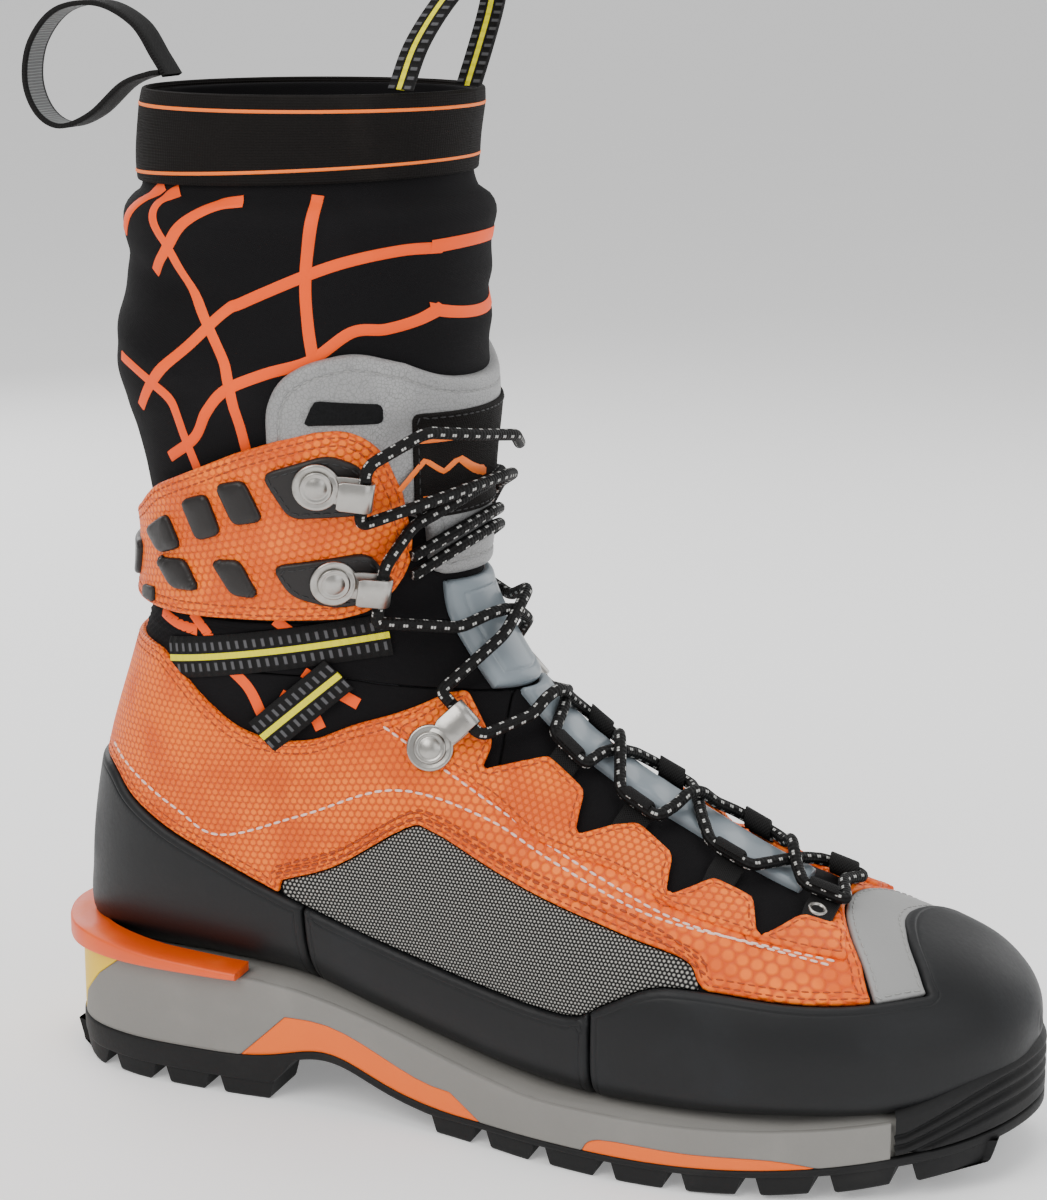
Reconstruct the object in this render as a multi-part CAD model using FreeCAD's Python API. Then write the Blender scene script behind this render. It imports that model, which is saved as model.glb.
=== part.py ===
import FreeCAD, Part
import math
import os

# A laced mountaineering boot for a right foot, with an ankle cuff that flexes and an inner gaiter.
# Millimetres. +X points to the toe, -Y is the outer side of the foot, +Z is up, and Z 0 is the ground.
# The origin is on the ground under the middle of the heel. The drawing below measures x from the
# heel's back, and save() moves each piece to the origin.

Vector = FreeCAD.Vector
OUTER = -1                   # the side of the boot that faces away from the other foot
INNER = 1

# overall sizes
boot_length = 306.0          # heel to toe of the sole
ball_width = 108.0           # sole width at the ball of the foot
shaft_height = 264.5         # heel feather line to the top of the gaiter band
heel_stack = 38.5            # ground to the feather line under the heel
ball_stack = 19.5            # ground to the feather line under the ball
toe_spring = 10.0            # lift of the toe above the ground
heel_middle = 39.0           # the origin, from the heel's back

# the last as it is drawn below, before it is scaled to the sizes above
DRAWN_LENGTH = 306.0
DRAWN_WIDTH = 108.0
DRAWN_SHAFT = 264.5
DRAWN_HEEL = 38.5
DRAWN_BALL = 19.5

# walls and gaps
gap = 0.15                   # between layers that are glued or sewn together
sock_wall = 1.2
foam_wall = 2.0
lining_wall = 0.9
panel_wall = 1.7
eyestay_wall = 1.2
rand_wall = 2.9
pad_wall = 3.2               # tongue and collar padding
cuff_wall = 1.8
lug_height = 1.6             # moulded lugs on the cuff
band_wall = 1.4
seam_gap = 0.4               # between the ends of neighbouring panels

# sole
tread_depth = 5.5
heel_plate = 7.8
forefoot_plate = 2.0
arch_plate = 2.6
arch_rise = 5.0
heel_bevel = 4.0
welt_reach = 3.4             # how far the heel ledge stands out
bumper_lip = 3.0             # toe bumper above the feather line at its ends
bumper_rise = 6.0            # and how much higher at the toe
shank_size = (125.0, 24.0, 1.6)
board_wall = 2.4
footbed_wall = 4.0

# lacing
lace_diameter = 3.6
hook_wall = 1.0
hook_width = 8.6
hook_disc = 6.9              # radius of the hook's round foot
rivet_radius = 4.7
rivet_rise = 1.3
webbing_width = 11.0
webbing_wall = 1.1
strap_width = 12.5

# pull loops
loop_reach = 47.0            # rear loop, backwards from the band
loop_rise = 33.0             # front loop, upwards from the band
loop_lean = 17.0             # front loop, forwards at its top
loop_width = 11.0            # rear loop
front_loop_width = 9.0
loop_wall = 1.5
loop_clear = 1.7             # between the front loop's feet and the band

# Stations of the last from the toe to the top of the leg. Each row holds the top point x, z, the
# bottom or back point x, z, the centre's y, the half width, the height share of the widest place,
# two exponents for the top half and two for the bottom half, and the share that offsets move in x.
STATIONS = (
    (301.5, 43.0, 301.5, 38.0, 6.0, 2.0, 0.40, 2.0, 2.0, 2.5, 2.0, 1.00),
    (299.5, 48.5, 299.5, 31.5, 6.0, 13.0, 0.40, 2.1, 2.1, 3.0, 2.2, 0.80),
    (295.0, 54.5, 295.0, 28.8, 5.5, 22.0, 0.38, 2.1, 2.1, 3.5, 2.3, 0.50),
    (287.0, 60.5, 287.0, 26.2, 4.5, 30.5, 0.37, 2.2, 2.1, 4.0, 2.4, 0.28),
    (276.0, 65.0, 276.0, 24.2, 3.0, 38.0, 0.35, 2.2, 2.1, 5.0, 2.4, 0.15),
    (262.0, 69.0, 262.0, 23.2, 1.3, 44.5, 0.33, 2.2, 2.1, 5.0, 2.4, 0.07),
    (244.0, 74.0, 244.0, 22.3, 0.0, 48.5, 0.30, 2.2, 2.1, 5.0, 2.4, 0.0),
    (224.0, 81.5, 224.0, 21.0, -0.8, 50.3, 0.27, 2.1, 2.0, 5.0, 2.4, 0.0),
    (204.0, 91.5, 204.0, 20.0, -1.0, 49.8, 0.25, 2.1, 2.0, 5.0, 2.4, 0.0),
    (187.0, 100.5, 184.0, 19.2, -1.2, 47.2, 0.26, 2.0, 1.9, 5.0, 2.4, 0.0),
    (172.0, 110.0, 162.0, 20.5, -1.4, 43.2, 0.28, 2.0, 1.9, 5.0, 2.4, 0.0),
    (160.0, 120.0, 138.0, 24.5, -1.2, 39.2, 0.31, 2.0, 1.9, 5.0, 2.4, 0.0),
    (151.0, 130.0, 112.0, 30.2, -0.6, 36.6, 0.36, 2.0, 1.9, 5.0, 2.4, 0.0),
    (144.5, 139.0, 84.0, 36.5, -0.2, 35.8, 0.42, 2.0, 1.95, 4.0, 2.4, 0.0),
    (140.0, 146.5, 52.0, 38.5, 0.0, 36.2, 0.46, 2.0, 2.0, 3.4, 2.3, 0.0),
    (137.0, 152.5, 24.0, 38.5, 0.0, 36.8, 0.48, 2.0, 2.0, 2.6, 2.1, 0.0),
    (135.0, 157.5, 8.5, 43.0, 0.0, 37.2, 0.48, 2.0, 2.0, 2.2, 2.0, 0.0),
    (133.5, 163.0, 8.2, 60.0, 0.0, 38.0, 0.48, 2.0, 2.0, 2.2, 2.0, 0.0),
    (132.5, 170.0, 10.5, 80.0, 0.0, 39.2, 0.49, 2.0, 2.0, 2.2, 2.0, 0.0),
    (131.5, 177.0, 15.5, 103.0, 0.0, 40.6, 0.50, 2.0, 2.0, 2.2, 2.0, 0.0),
    (131.0, 184.0, 24.5, 130.0, 0.0, 42.2, 0.50, 2.0, 2.0, 2.1, 2.0, 0.0),
    (131.0, 191.0, 31.0, 150.0, 0.0, 43.6, 0.50, 2.1, 2.0, 2.1, 2.0, 0.0),
    (131.5, 199.0, 33.0, 170.0, 0.0, 44.8, 0.50, 2.1, 2.0, 2.1, 2.0, 0.0),
    (132.5, 208.0, 30.5, 190.0, 0.0, 46.4, 0.50, 2.1, 2.0, 2.1, 2.0, 0.0),
    (133.5, 220.0, 26.0, 210.0, 0.0, 48.0, 0.50, 2.1, 2.0, 2.1, 2.0, 0.0),
    (134.0, 240.0, 24.0, 235.0, 0.0, 49.0, 0.50, 2.1, 2.0, 2.1, 2.0, 0.0),
    (134.5, 258.0, 25.5, 256.0, 0.0, 49.0, 0.50, 2.1, 2.0, 2.1, 2.0, 0.0),
    (133.0, 269.0, 28.5, 267.0, 0.0, 48.0, 0.50, 2.1, 2.0, 2.1, 2.0, 0.0),
    (129.5, 278.0, 31.5, 275.0, 0.0, 46.3, 0.50, 2.0, 2.0, 2.0, 2.0, 0.0),
    (129.5, 288.0, 32.0, 286.0, 0.0, 46.0, 0.50, 2.0, 2.0, 2.0, 2.0, 0.0),
    (131.0, 299.0, 33.5, 299.0, 0.0, 46.0, 0.50, 2.0, 2.0, 2.0, 2.0, 0.0),
    (132.0, 310.0, 35.0, 310.0, 0.0, 46.0, 0.50, 2.0, 2.0, 2.0, 2.0, 0.0),
)
SECTION_POINTS = 28

# half outline of the sole seen from above: x, outer half width, inner half width
SOLE_OUTLINE = (
    (4.0, 15.0, 15.0), (13.0, 26.5, 26.5), (30.0, 34.0, 34.0), (60.0, 37.0, 36.5),
    (90.0, 37.0, 36.0), (118.0, 39.5, 37.5), (145.0, 45.0, 42.0), (170.0, 51.5, 47.5),
    (197.0, 55.5, 52.0), (225.0, 55.0, 53.0), (250.0, 50.0, 51.0), (272.0, 41.0, 45.5),
    (290.0, 28.5, 36.0), (301.0, 13.5, 25.0),
)
HEEL_BACK = (0.0, 0.0)
TOE_TIP = (306.0, 6.0)


def smooth(t):
    t = min(1.0, max(0.0, t))
    return t * t * (3 - 2 * t)


def spring_at(x):
    return toe_spring * max(0.0, (x - 200.0) / 106.0) ** 2


def feather_line(x, heel, ball):
    return ball + (heel - ball) * (1 - smooth((x - 65.0) / 110.0)) + 0.9 * spring_at(x)


def feather(x):
    return feather_line(x, heel_stack, ball_stack)


def wide(y):
    return y * ball_width / DRAWN_WIDTH


def long(x):
    return x * boot_length / DRAWN_LENGTH


def place(x, z):
    """A drawn side-view point of the upper, moved to the boot's real sizes."""
    rise = shaft_height / DRAWN_SHAFT
    drawn_feather = feather_line(x, DRAWN_HEEL, DRAWN_BALL)
    low = feather(x) + (z - drawn_feather) * rise
    high = heel_stack + (z - DRAWN_HEEL) * rise
    share = smooth((z - 60.0) / 70.0)
    return long(x), low * (1 - share) + high * share


def scaled_station(row):
    top = place(row[0], row[1])
    back = place(row[2], row[3])
    return (*top, *back, wide(row[4]), wide(row[5]), *row[6:])


def blended_station(u):
    """Station number u, which needn't be whole, by a curve through its neighbours."""
    last = len(STATIONS) - 1
    i = min(last - 1, max(0, int(u)))
    f = u - i
    a, b, c, d = (scaled_station(STATIONS[min(last, max(0, k))]) for k in range(i - 1, i + 3))
    return [
        0.5 * (2 * q + (r - p) * f + (2 * p - 5 * q + 4 * r - s) * f ** 2 + (3 * q - p - 3 * r + s) * f ** 3)
        for p, q, r, s in zip(a, b, c, d)
    ]


def section_point(station, angle, offset):
    """A point of one section: angle 0 is the top, and positive angles go to the inner side."""
    tx, tz, bx, bz, centre, half, share, nt, mt, nb, mb, forward = station
    ax, az = tx - bx, tz - bz
    length = math.hypot(ax, az)
    ax, az = ax / length, az / length
    cosine, sine = math.cos(angle), math.sin(angle)
    if cosine >= 0:
        along = share + (1 - share) * abs(cosine) ** (2 / nt)
        across = abs(sine) ** (2 / mt)
    else:
        along = share - share * abs(cosine) ** (2 / nb)
        across = abs(sine) ** (2 / mb)
    reach = along * (length + 2 * offset) - offset
    y = centre + math.copysign(across, sine) * (half + offset)
    return Vector(bx + offset * forward + reach * ax, y, bz + reach * az)


def closed_curve(points):
    curve = Part.BSplineCurve()
    curve.interpolate(Points=points, PeriodicFlag=True)
    return Part.Wire([curve.toShape()])


def open_curve(points):
    curve = Part.BSplineCurve()
    curve.interpolate(Points=points)
    return curve.toShape()


forms = {}


def form(offset):
    """The whole last, grown outwards by offset."""
    if offset not in forms:
        step = 2 * math.pi / SECTION_POINTS
        stations = [scaled_station(row) for row in STATIONS]
        rings = []
        for station in [s for s in stations if s[5] + offset > 1.0]:
            ring = [section_point(station, step * k - math.pi, offset) for k in range(SECTION_POINTS)]
            rings.append(ring + ring[:1])
        surface = Part.BSplineSurface()
        surface.interpolate(rings)
        u0, u1, v0, v1 = surface.bounds()
        top = surface.parameter(rings[len(rings) // 2][SECTION_POINTS // 2])[1]
        faces = []
        for start, end in ((v0, top), (top, v1)):
            half = surface.copy()
            half.segment(u0, u1, start, end)
            faces.append(half.toShape())
        faces += [Part.Face(Part.Wire([surface.uIso(u).toShape()])) for u in (u0, u1)]
        closed = Part.Compound(faces)
        closed.sewShape()
        forms[offset] = Part.Solid(closed.Shells[0])
    return forms[offset]


skins = {}


def skin(inside, outside):
    """The closed layer between two offsets of the last."""
    if (inside, outside) not in skins:
        skins[inside, outside] = form(outside).cut(form(inside))
    return skins[inside, outside]


def point_on(x, z, side, offset):
    """The point of the last, grown by offset, that shows at x, z in the side view."""
    tx, tz = place(x, z)
    best = None
    u_low, u_high, a_low, a_high = 0.0, len(STATIONS) - 1.0, 0.02, math.pi - 0.02
    for steps in (36, 12, 12, 12):
        for i in range(steps + 1):
            station = blended_station(u_low + (u_high - u_low) * i / steps)
            for k in range(steps + 1):
                angle = a_low + (a_high - a_low) * k / steps
                p = section_point(station, side * angle, offset)
                miss = (p.x - tx) ** 2 + (p.z - tz) ** 2
                if best is None or miss < best[0]:
                    best = (miss, p, u_low + (u_high - u_low) * i / steps, angle)
        du, da = (u_high - u_low) / steps, (a_high - a_low) / steps
        u_low, u_high = max(0.0, best[2] - du), min(len(STATIONS) - 1.0, best[2] + du)
        a_low, a_high = best[3] - da, best[3] + da
    return best[1]


def ridge_point(u, offset, across=0.0):
    """A point over the top line of the last at station u, moved sideways by the angle across."""
    return section_point(blended_station(u), across, offset)


def normal_on(x, z, side, offset):
    """Outward direction of the last at a side-view point."""
    reach = 4.0
    a = point_on(x - reach, z, side, offset)
    b = point_on(x + reach, z, side, offset)
    c = point_on(x, z - reach, side, offset)
    d = point_on(x, z + reach, side, offset)
    n = (b - a).cross(d - c)
    n.normalize()
    return n if n.y * side > 0 else n * -1


def prism(points, side=0, placed=False, reach=90.0):
    """A side-view outline, run across the boot: both sides, or only one."""
    flat = points if placed else [place(x, z) for x, z in points]
    y0, y1 = {0: (-reach, reach), OUTER: (-reach, 0.0), INNER: (0.0, reach)}[side]
    corners = [Vector(x, y0, z) for x, z in flat]
    face = Part.Face(Part.makePolygon(corners + corners[:1]))
    return face.extrude(Vector(0, y1 - y0, 0))


def panel(points, inside, outside, side=0):
    return solid_of(skin(inside, outside).common(prism(points, side)))


def solid_of(shape, smallest=2.0):
    """The solids of a result, without crumbs."""
    kept = [s for s in shape.Solids if s.Volume > smallest]
    return kept[0] if len(kept) == 1 else Part.Compound(kept)


def box(x0, x1, y0, y1, z0, z1):
    return Part.makeBox(x1 - x0, y1 - y0, z1 - z0, Vector(x0, y0, z0))


os.makedirs("parts", exist_ok=True)


def save(name, shape):
    if not shape.Solids:
        raise ValueError(name + " came out empty")
    placed = shape.copy()
    placed.translate(Vector(-heel_middle, 0, 0))
    placed.exportStep("parts/" + name + ".step")


# ---------------------------------------------------------------- sole

def sole_outline(grow):
    outer = [(long(x), -wide(a)) for x, a, b in SOLE_OUTLINE]
    inner = [(long(x), wide(b)) for x, a, b in reversed(SOLE_OUTLINE)]
    tip = (long(TOE_TIP[0]), wide(TOE_TIP[1]))
    ring = [HEEL_BACK, *outer, tip, *inner]
    moved = []
    for k, (x, y) in enumerate(ring):
        before, after = ring[k - 1], ring[(k + 1) % len(ring)]
        tx, ty = after[0] - before[0], after[1] - before[1]
        length = math.hypot(tx, ty)
        moved.append(Vector(x + grow * ty / length, y - grow * tx / length, -1.0))
    return moved


def sole_column(grow):
    face = Part.Face(closed_curve(sole_outline(grow)))
    return face.extrude(Vector(0, 0, heel_stack + 40))


def ground(x):
    return spring_at(x) + heel_bevel * max(0.0, (16.0 - x) / 16.0) ** 1.5


def tread_top(x):
    """Top of the black rubber along the side of the sole."""
    heel = tread_depth + heel_plate
    front = tread_depth + forefoot_plate
    arch = arch_rise * math.exp(-((x - 98.0) / 17.0) ** 2)
    return front + (heel - front) * (1 - smooth((x - 90.0) / 55.0)) + arch + 1.15 * spring_at(x)


def plate_bottom(x):
    """Underside of the rubber plate between the lugs."""
    lifted = tread_top(x) - arch_plate
    in_arch = smooth((x - 78.0) / 10.0) * (1 - smooth((x - 128.0) / 14.0))
    return (ground(x) + tread_depth) * (1 - in_arch) + lifted * in_arch


SOLE_STEPS = (-12.0, 0.0, 14.0, 40.0, 64.0, 76.0, 84.0, 92.0, 102.0, 114.0, 126.0, 138.0, 150.0,
              168.0, 190.0, 215.0, 235.0, 252.0, 268.0, 284.0, 298.0, 312.0)


def layer(low, high, steps=SOLE_STEPS):
    """A slab across the boot between two height functions of x."""
    under = open_curve([Vector(long(x), -90, low(x)) for x in steps])
    over = open_curve([Vector(long(x), -90, high(x)) for x in steps])
    a, b = under.Vertexes[0].Point, under.Vertexes[-1].Point
    c, d = over.Vertexes[0].Point, over.Vertexes[-1].Point
    ends = [Part.makeLine(b, d), Part.makeLine(c, a)]
    wire = Part.Wire(Part.__sortEdges__([under, ends[0], over, ends[1]]))
    return Part.Face(wire).extrude(Vector(0, 180, 0))


HEEL_LUGS = ((4.0, 19.0), (25.0, 38.0), (44.0, 57.0), (63.0, 79.0))
FRONT_LUGS = ((135.0, 148.0), (154.0, 168.0), (174.0, 189.0), (195.0, 210.0), (216.0, 231.0),
              (237.0, 251.0), (257.0, 272.0), (278.0, 297.0))
lug_taper = 1.2


def lug(x0, x1, y0, y1):
    top = 16.0
    corners = [(long(x0) + lug_taper, -2.0), (long(x1) - lug_taper, -2.0),
               (long(x1) + lug_taper, top), (long(x0) - lug_taper, top)]
    face = Part.Face(Part.makePolygon([Vector(x, wide(y0), z) for x, z in corners + corners[:1]]))
    return face.extrude(Vector(0, wide(y1 - y0), 0))


def make_outsole():
    plate = layer(plate_bottom, tread_top).common(sole_column(0.0))
    lugs = []
    for x0, x1 in HEEL_LUGS:
        lugs += [lug(x0, x1, -60, -17), lug(x0, x1, 17, 60)]
    for x0, x1 in HEEL_LUGS[:-1]:
        lugs.append(lug(x0 + 9, x1 + 7, -10, 10))
    for x0, x1 in FRONT_LUGS:
        lugs += [lug(x0, x1, -60, -22), lug(x0, x1, 22, 60)]
    for x0, x1 in FRONT_LUGS[:-1]:
        lugs.append(lug(x0 + 10, x1 + 6, -15, 15))
    steps = (-12.0, 0.0, 6.0, 16.0, 90.0, 200.0, 220.0, 240.0, 260.0, 280.0, 300.0, 312.0)
    under = [(long(x), ground(x)) for x in steps]
    over = [(long(x), plate_bottom(x) + 0.6) for x in reversed(SOLE_STEPS)]
    tread = Part.Compound(lugs).common(prism(under + over, placed=True))
    tread = tread.common(sole_column(-0.8))
    return plate.fuse(tread.Solids).removeSplitter()


def insert_line(x):
    """Top edge of the arch insert."""
    peak = 27.5 - 13.0 * smooth((x - 92.0) / 46.0) - 4.0 * smooth((x - 138.0) / 20.0)
    return peak * feather(x) / feather_line(x, DRAWN_HEEL, DRAWN_BALL)



def arch_outline():
    low = [(long(x), tread_top(x) - 1.0) for x in (152, 138, 126, 114, 102, 92, 84, 76, 68)]
    high = [(long(x), max(insert_line(x), tread_top(x) + 1.0)) for x in (84, 92, 104, 116, 128, 140)]
    return low + high


def front_insert_outline():
    low = [(long(x), tread_top(x) - 1.0) for x in (256, 246, 232, 216, 200, 184)]
    return low + [(long(190.0), tread_top(190.0) + 4.2), (long(216.0), tread_top(216.0) + 4.0),
                  (long(240.0), tread_top(240.0) + 3.0)]


def heel_insert_outline():
    z0, z1 = tread_top(0), feather(0)
    return [(-8.0, z0 - 2), (6.0, z0 - 2), (9.0, z0 + 8), (17.0, z0 + 17), (29.0, z1 + 1), (-8.0, z1 + 1)]


def make_sole():
    column = sole_column(-0.4)
    blocks = {
        "arch_insert": prism(arch_outline(), placed=True),
        "forefoot_insert": prism(front_insert_outline(), placed=True),
        "heel_shock_insert": prism(heel_insert_outline(), placed=True),
    }
    body = layer(lambda x: tread_top(x) + gap, lambda x: feather(x) - gap).common(column)
    body = body.cut(box(long(272.0), 400, -90, 90, 0, 90))
    long_side, wide_side, thick = shank_size
    start = long(58.0)
    pocket = layer(lambda x: feather(x) - gap - thick - 0.2, lambda x: feather(x) + 2)
    slot = pocket.common(box(start, start + long_side, -wide_side / 2, wide_side / 2, 0, 90))
    shank_zone = layer(lambda x: feather(x) - gap - thick, lambda x: feather(x) - gap)
    inset = 0.2
    shank = shank_zone.common(
        box(start + inset, start + long_side - inset, inset - wide_side / 2, wide_side / 2 - inset, 0, 90))
    save("shank", solid_of(shank))
    for name, block in blocks.items():
        save(name, solid_of(body.common(block)))
        body = body.cut(block)
    save("midsole", solid_of(body.cut(slot)))
    save("outsole", solid_of(make_outsole()))


def make_heel_welt():
    """The ledge round the heel that a crampon's heel lever sits on."""
    top = [(-8.0, 45.0), (14.0, 45.0), (40.0, 42.5), (69.0, 41.0)]
    outline = [(-8.0, 38.6), *[(69.0, 38.6)], *reversed(top)]
    ledge = prism(outline).common(sole_column(welt_reach))
    save("heel_welt", solid_of(ledge.cut(form(rand_wall + gap))))


def make_toe_bumper():
    zone = layer(lambda x: tread_top(x) + gap,
                 lambda x: feather(x) + bumper_lip + bumper_rise * smooth((x - 270) / 30))
    zone = zone.common(box(long(272.2), 400, -90, 90, 0, 90)).common(sole_column(0.0))
    shoe = [(long(x), feather(x) - gap) for x in range(260, 316, 4)]
    bumper = zone.cut(form(gap))
    bumper = bumper.cut(form(rand_wall + gap).common(prism([*shoe, (shoe[-1][0], 120.0), (shoe[0][0], 120.0)],
                                                           placed=True)))
    for level in (9.0, 14.0):
        groove = layer(lambda x: tread_top(x) + level, lambda x: tread_top(x) + level + 1.2)
        bumper = bumper.cut(groove.cut(sole_column(-1.6)))
    save("toe_bumper", solid_of(bumper))


# ---------------------------------------------------------------- upper, below the ankle

# side-view outlines, from the heel to the toe
RAND_TOP = ((-6.0, 100.0), (16.0, 99.5), (25.0, 97.5), (33.0, 91.0), (46.0, 83.5), (60.0, 77.0), (83.0, 67.0),
            (113.0, 57.0), (148.0, 49.0), (178.0, 45.5), (190.0, 51.0), (203.0, 57.5), (217.0, 58.5),
            (248.0, 56.5), (278.0, 57.5))
CAP_REAR = ((278.0, 57.5), (274.0, 63.0), (268.0, 68.5), (262.5, 72.0), (258.0, 78.0))
STRIP_REAR = ((265.5, 57.0), (260.0, 65.0), (253.0, 71.5), (247.5, 76.0), (244.0, 82.0))
WINDOW = ((84.5, 71.0), (102.0, 77.5), (124.0, 91.5), (132.0, 91.5), (150.0, 83.5), (168.0, 77.0),
          (193.0, 70.5), (212.0, 66.0), (217.0, 60.5))
QUARTER_TOP = ((-6.0, 141.0), (38.0, 140.5), (50.0, 137.0), (63.0, 125.5), (73.0, 118.0), (84.0, 115.0),
               (95.0, 116.0), (107.0, 121.0), (122.0, 126.0), (133.0, 131.0))
LACE_EDGE = ((138.0, 131.5), (147.0, 117.0), (145.0, 110.0), (155.0, 112.0), (162.0, 113.0), (174.0, 104.0),
             (174.5, 94.0), (184.0, 96.0), (190.0, 96.0), (202.0, 89.0), (203.5, 80.5), (214.0, 83.5),
             (226.0, 78.5), (230.5, 71.0), (239.0, 74.5), (246.8, 73.8))
LOWER_JOIN = ((-20.0, 141.5), (170.0, 129.5))      # top of the boot's own sock, under the flexing zone
UPPER_JOIN = ((-20.0, 152.5), (170.0, 150.5))      # bottom of the cuff's sleeve
SLEEVE_TOP = 301.5
BAND_TOP = 303.0
BAND_LOW = ((-20.0, 274.5), (170.0, 281.0))
SEAM_X = 91.0
TOE_RAND_X = 186.0
SOCK_SPLIT_X = 150.0


def feather_points(x0, x1, lift=0.1, count=33):
    xs = [x0 + (x1 - x0) * k / (count - 1) for k in range(count)]
    return [(x, feather_line(x, DRAWN_HEEL, DRAWN_BALL) + lift) for x in xs]


def cut_line(line, x0, x1):
    """The part of an outline between two x values, with points at both ends."""
    def height(x):
        for (xa, za), (xb, zb) in zip(line, line[1:]):
            if xa <= x <= xb:
                return za + (zb - za) * (x - xa) / (xb - xa)
        return line[-1][1] if x > line[-1][0] else line[0][1]
    middle = [p for p in line if x0 < p[0] < x1]
    return [(x0, height(x0)), *middle, (x1, height(x1))]


def make_rands():
    inside, outside = gap, gap + rand_wall
    heel = [*feather_points(-6.0, SEAM_X), *reversed(cut_line(RAND_TOP, -6.0, SEAM_X))]
    side = [*feather_points(SEAM_X + seam_gap, TOE_RAND_X - seam_gap),
            *reversed(cut_line(RAND_TOP, SEAM_X + seam_gap, TOE_RAND_X - seam_gap))]
    toe = [*feather_points(TOE_RAND_X, 312.0), (312.0, 90.0), (262.0, 90.0), *reversed(CAP_REAR),
           *reversed(cut_line(RAND_TOP, TOE_RAND_X, 277.9))]
    save("heel_rand", panel(heel, inside, outside))
    save("side_rand_outer", panel(side, inside, outside, OUTER))
    save("side_rand_inner", panel(side, inside, outside, INNER))
    save("toe_rand", panel(toe, inside, outside))


def shifted(points, dx=0.0, dz=0.0):
    return [(x + dx, z + dz) for x, z in points]


covers = {}                  # the quarters, which the lace loops stand on


def make_panels():
    inside, outside = gap, gap + panel_wall
    strip = [(276.6, 58.0), *shifted(CAP_REAR[1:], -seam_gap, -seam_gap), *reversed(STRIP_REAR[1:]), (264.9, 58.0)]
    save("toe_strip", panel(strip, inside, outside))
    window = [*WINDOW, *reversed(shifted(cut_line(RAND_TOP, 84.5, 217.0), 0, seam_gap))]
    save("mesh_panel_outer", panel(window, inside, outside, OUTER))
    save("mesh_panel_inner", panel(window, inside, outside, INNER))
    lifted = shifted(cut_line(RAND_TOP, -6.0, 83.0), 0, seam_gap)
    front = shifted(cut_line(RAND_TOP, 219.0, 264.2), 0, seam_gap)
    quarter = [*lifted, *shifted(WINDOW, -0.2, seam_gap), *front, *shifted(STRIP_REAR[1:3], -seam_gap, 0),
               *reversed(LACE_EDGE), *reversed(QUARTER_TOP)]
    whole = skin(inside, outside).common(prism(quarter))
    covers[OUTER] = solid_of(whole.common(box(-20, 400, -90, -seam_gap / 2, 0, 300)))
    covers[INNER] = solid_of(whole.common(box(-20, 400, seam_gap / 2, 90, 0, 300)))
    save("quarter_outer", covers[OUTER])
    save("quarter_inner", covers[INNER])
    eyestay = [(118.0, 121.0), (131.0, 113.0), (150.0, 101.5), (165.0, 92.0), (187.0, 86.0), (210.0, 76.5),
               (236.0, 69.5), (255.0, 66.0), (252.0, 71.5), *reversed(LACE_EDGE[:-1]), (133.0, 130.5)]
    start = outside + gap
    save("eyestay_outer", panel(eyestay, start, start + eyestay_wall, OUTER))
    save("eyestay_inner", panel(eyestay, start, start + eyestay_wall, INNER))


def make_inner_boot():
    """The sock, foam, counters and lining, up to the flexing zone."""
    whole = [*feather_points(-6.0, 308.0, 0.0), (312.0, 100.0), (170.0, 129.5), *LOWER_JOIN[:1]]
    sock = skin(-sock_wall, 0.0).common(prism(whole))
    front_cut = box(long(SOCK_SPLIT_X), 400, -90, 90, 0, 400)
    rear_cut = box(-50, long(SOCK_SPLIT_X) - seam_gap, -90, 90, 0, 400)
    save("sock_front", solid_of(sock.common(front_cut)))
    save("sock_rear", solid_of(sock.common(rear_cut)))
    mid_in = -sock_wall - gap - foam_wall
    middle = skin(mid_in, -sock_wall - gap).common(prism(whole))
    above = prism([(-20.0, 47.5), (330.0, 31.5), (330.0, 330.0), (-20.0, 330.0)])
    middle = middle.common(above)
    toe = box(long(248.0), 400, -90, 90, 0, 300)
    heel = prism([(-20.0, 30.0), (72.0, 30.0), (58.0, 92.0), (-20.0, 104.0)])
    save("toe_puff", solid_of(middle.common(toe)))
    save("heel_counter", solid_of(middle.common(heel)))
    ankle = prism([(-20.0, 105.0), (60.0, 94.0), (74.0, 44.0), (118.0, 40.0), (118.0, 340.0), (-20.0, 340.0)])
    save("ankle_foam", solid_of(middle.common(ankle)))
    lining_in = mid_in - gap - lining_wall
    lining = skin(lining_in, mid_in - gap).common(prism(whole)).common(above)
    save("lining_front", solid_of(lining.common(front_cut)))
    save("lining_rear", solid_of(lining.common(rear_cut)))
    return lining_in


def make_floor(lining_in):
    """The lasting board, and the footbed that lies loose on it."""
    inside = form(-sock_wall - gap)
    low = sock_wall + gap
    board = layer(lambda x: feather(x) + low, lambda x: feather(x) + low + board_wall).common(inside)
    save("insole_board", solid_of(board))
    start = low + board_wall + gap
    room = form(lining_in - 1.2)
    bed = layer(lambda x: feather(x) + start, lambda x: feather(x) + start + footbed_wall).common(room)
    cup = layer(lambda x: feather(x) + start + footbed_wall,
                lambda x: feather(x) + start + footbed_wall + 5.0 * (1 - smooth((x - 70.0) / 40.0)) + 0.2)
    rim = cup.common(room).cut(form(lining_in - 4.2)).common(box(-20, long(105.0), -90, 90, 0, 200))
    save("footbed", solid_of(bed.fuse(rim)))


# ---------------------------------------------------------------- flexing zone and cuff

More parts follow.
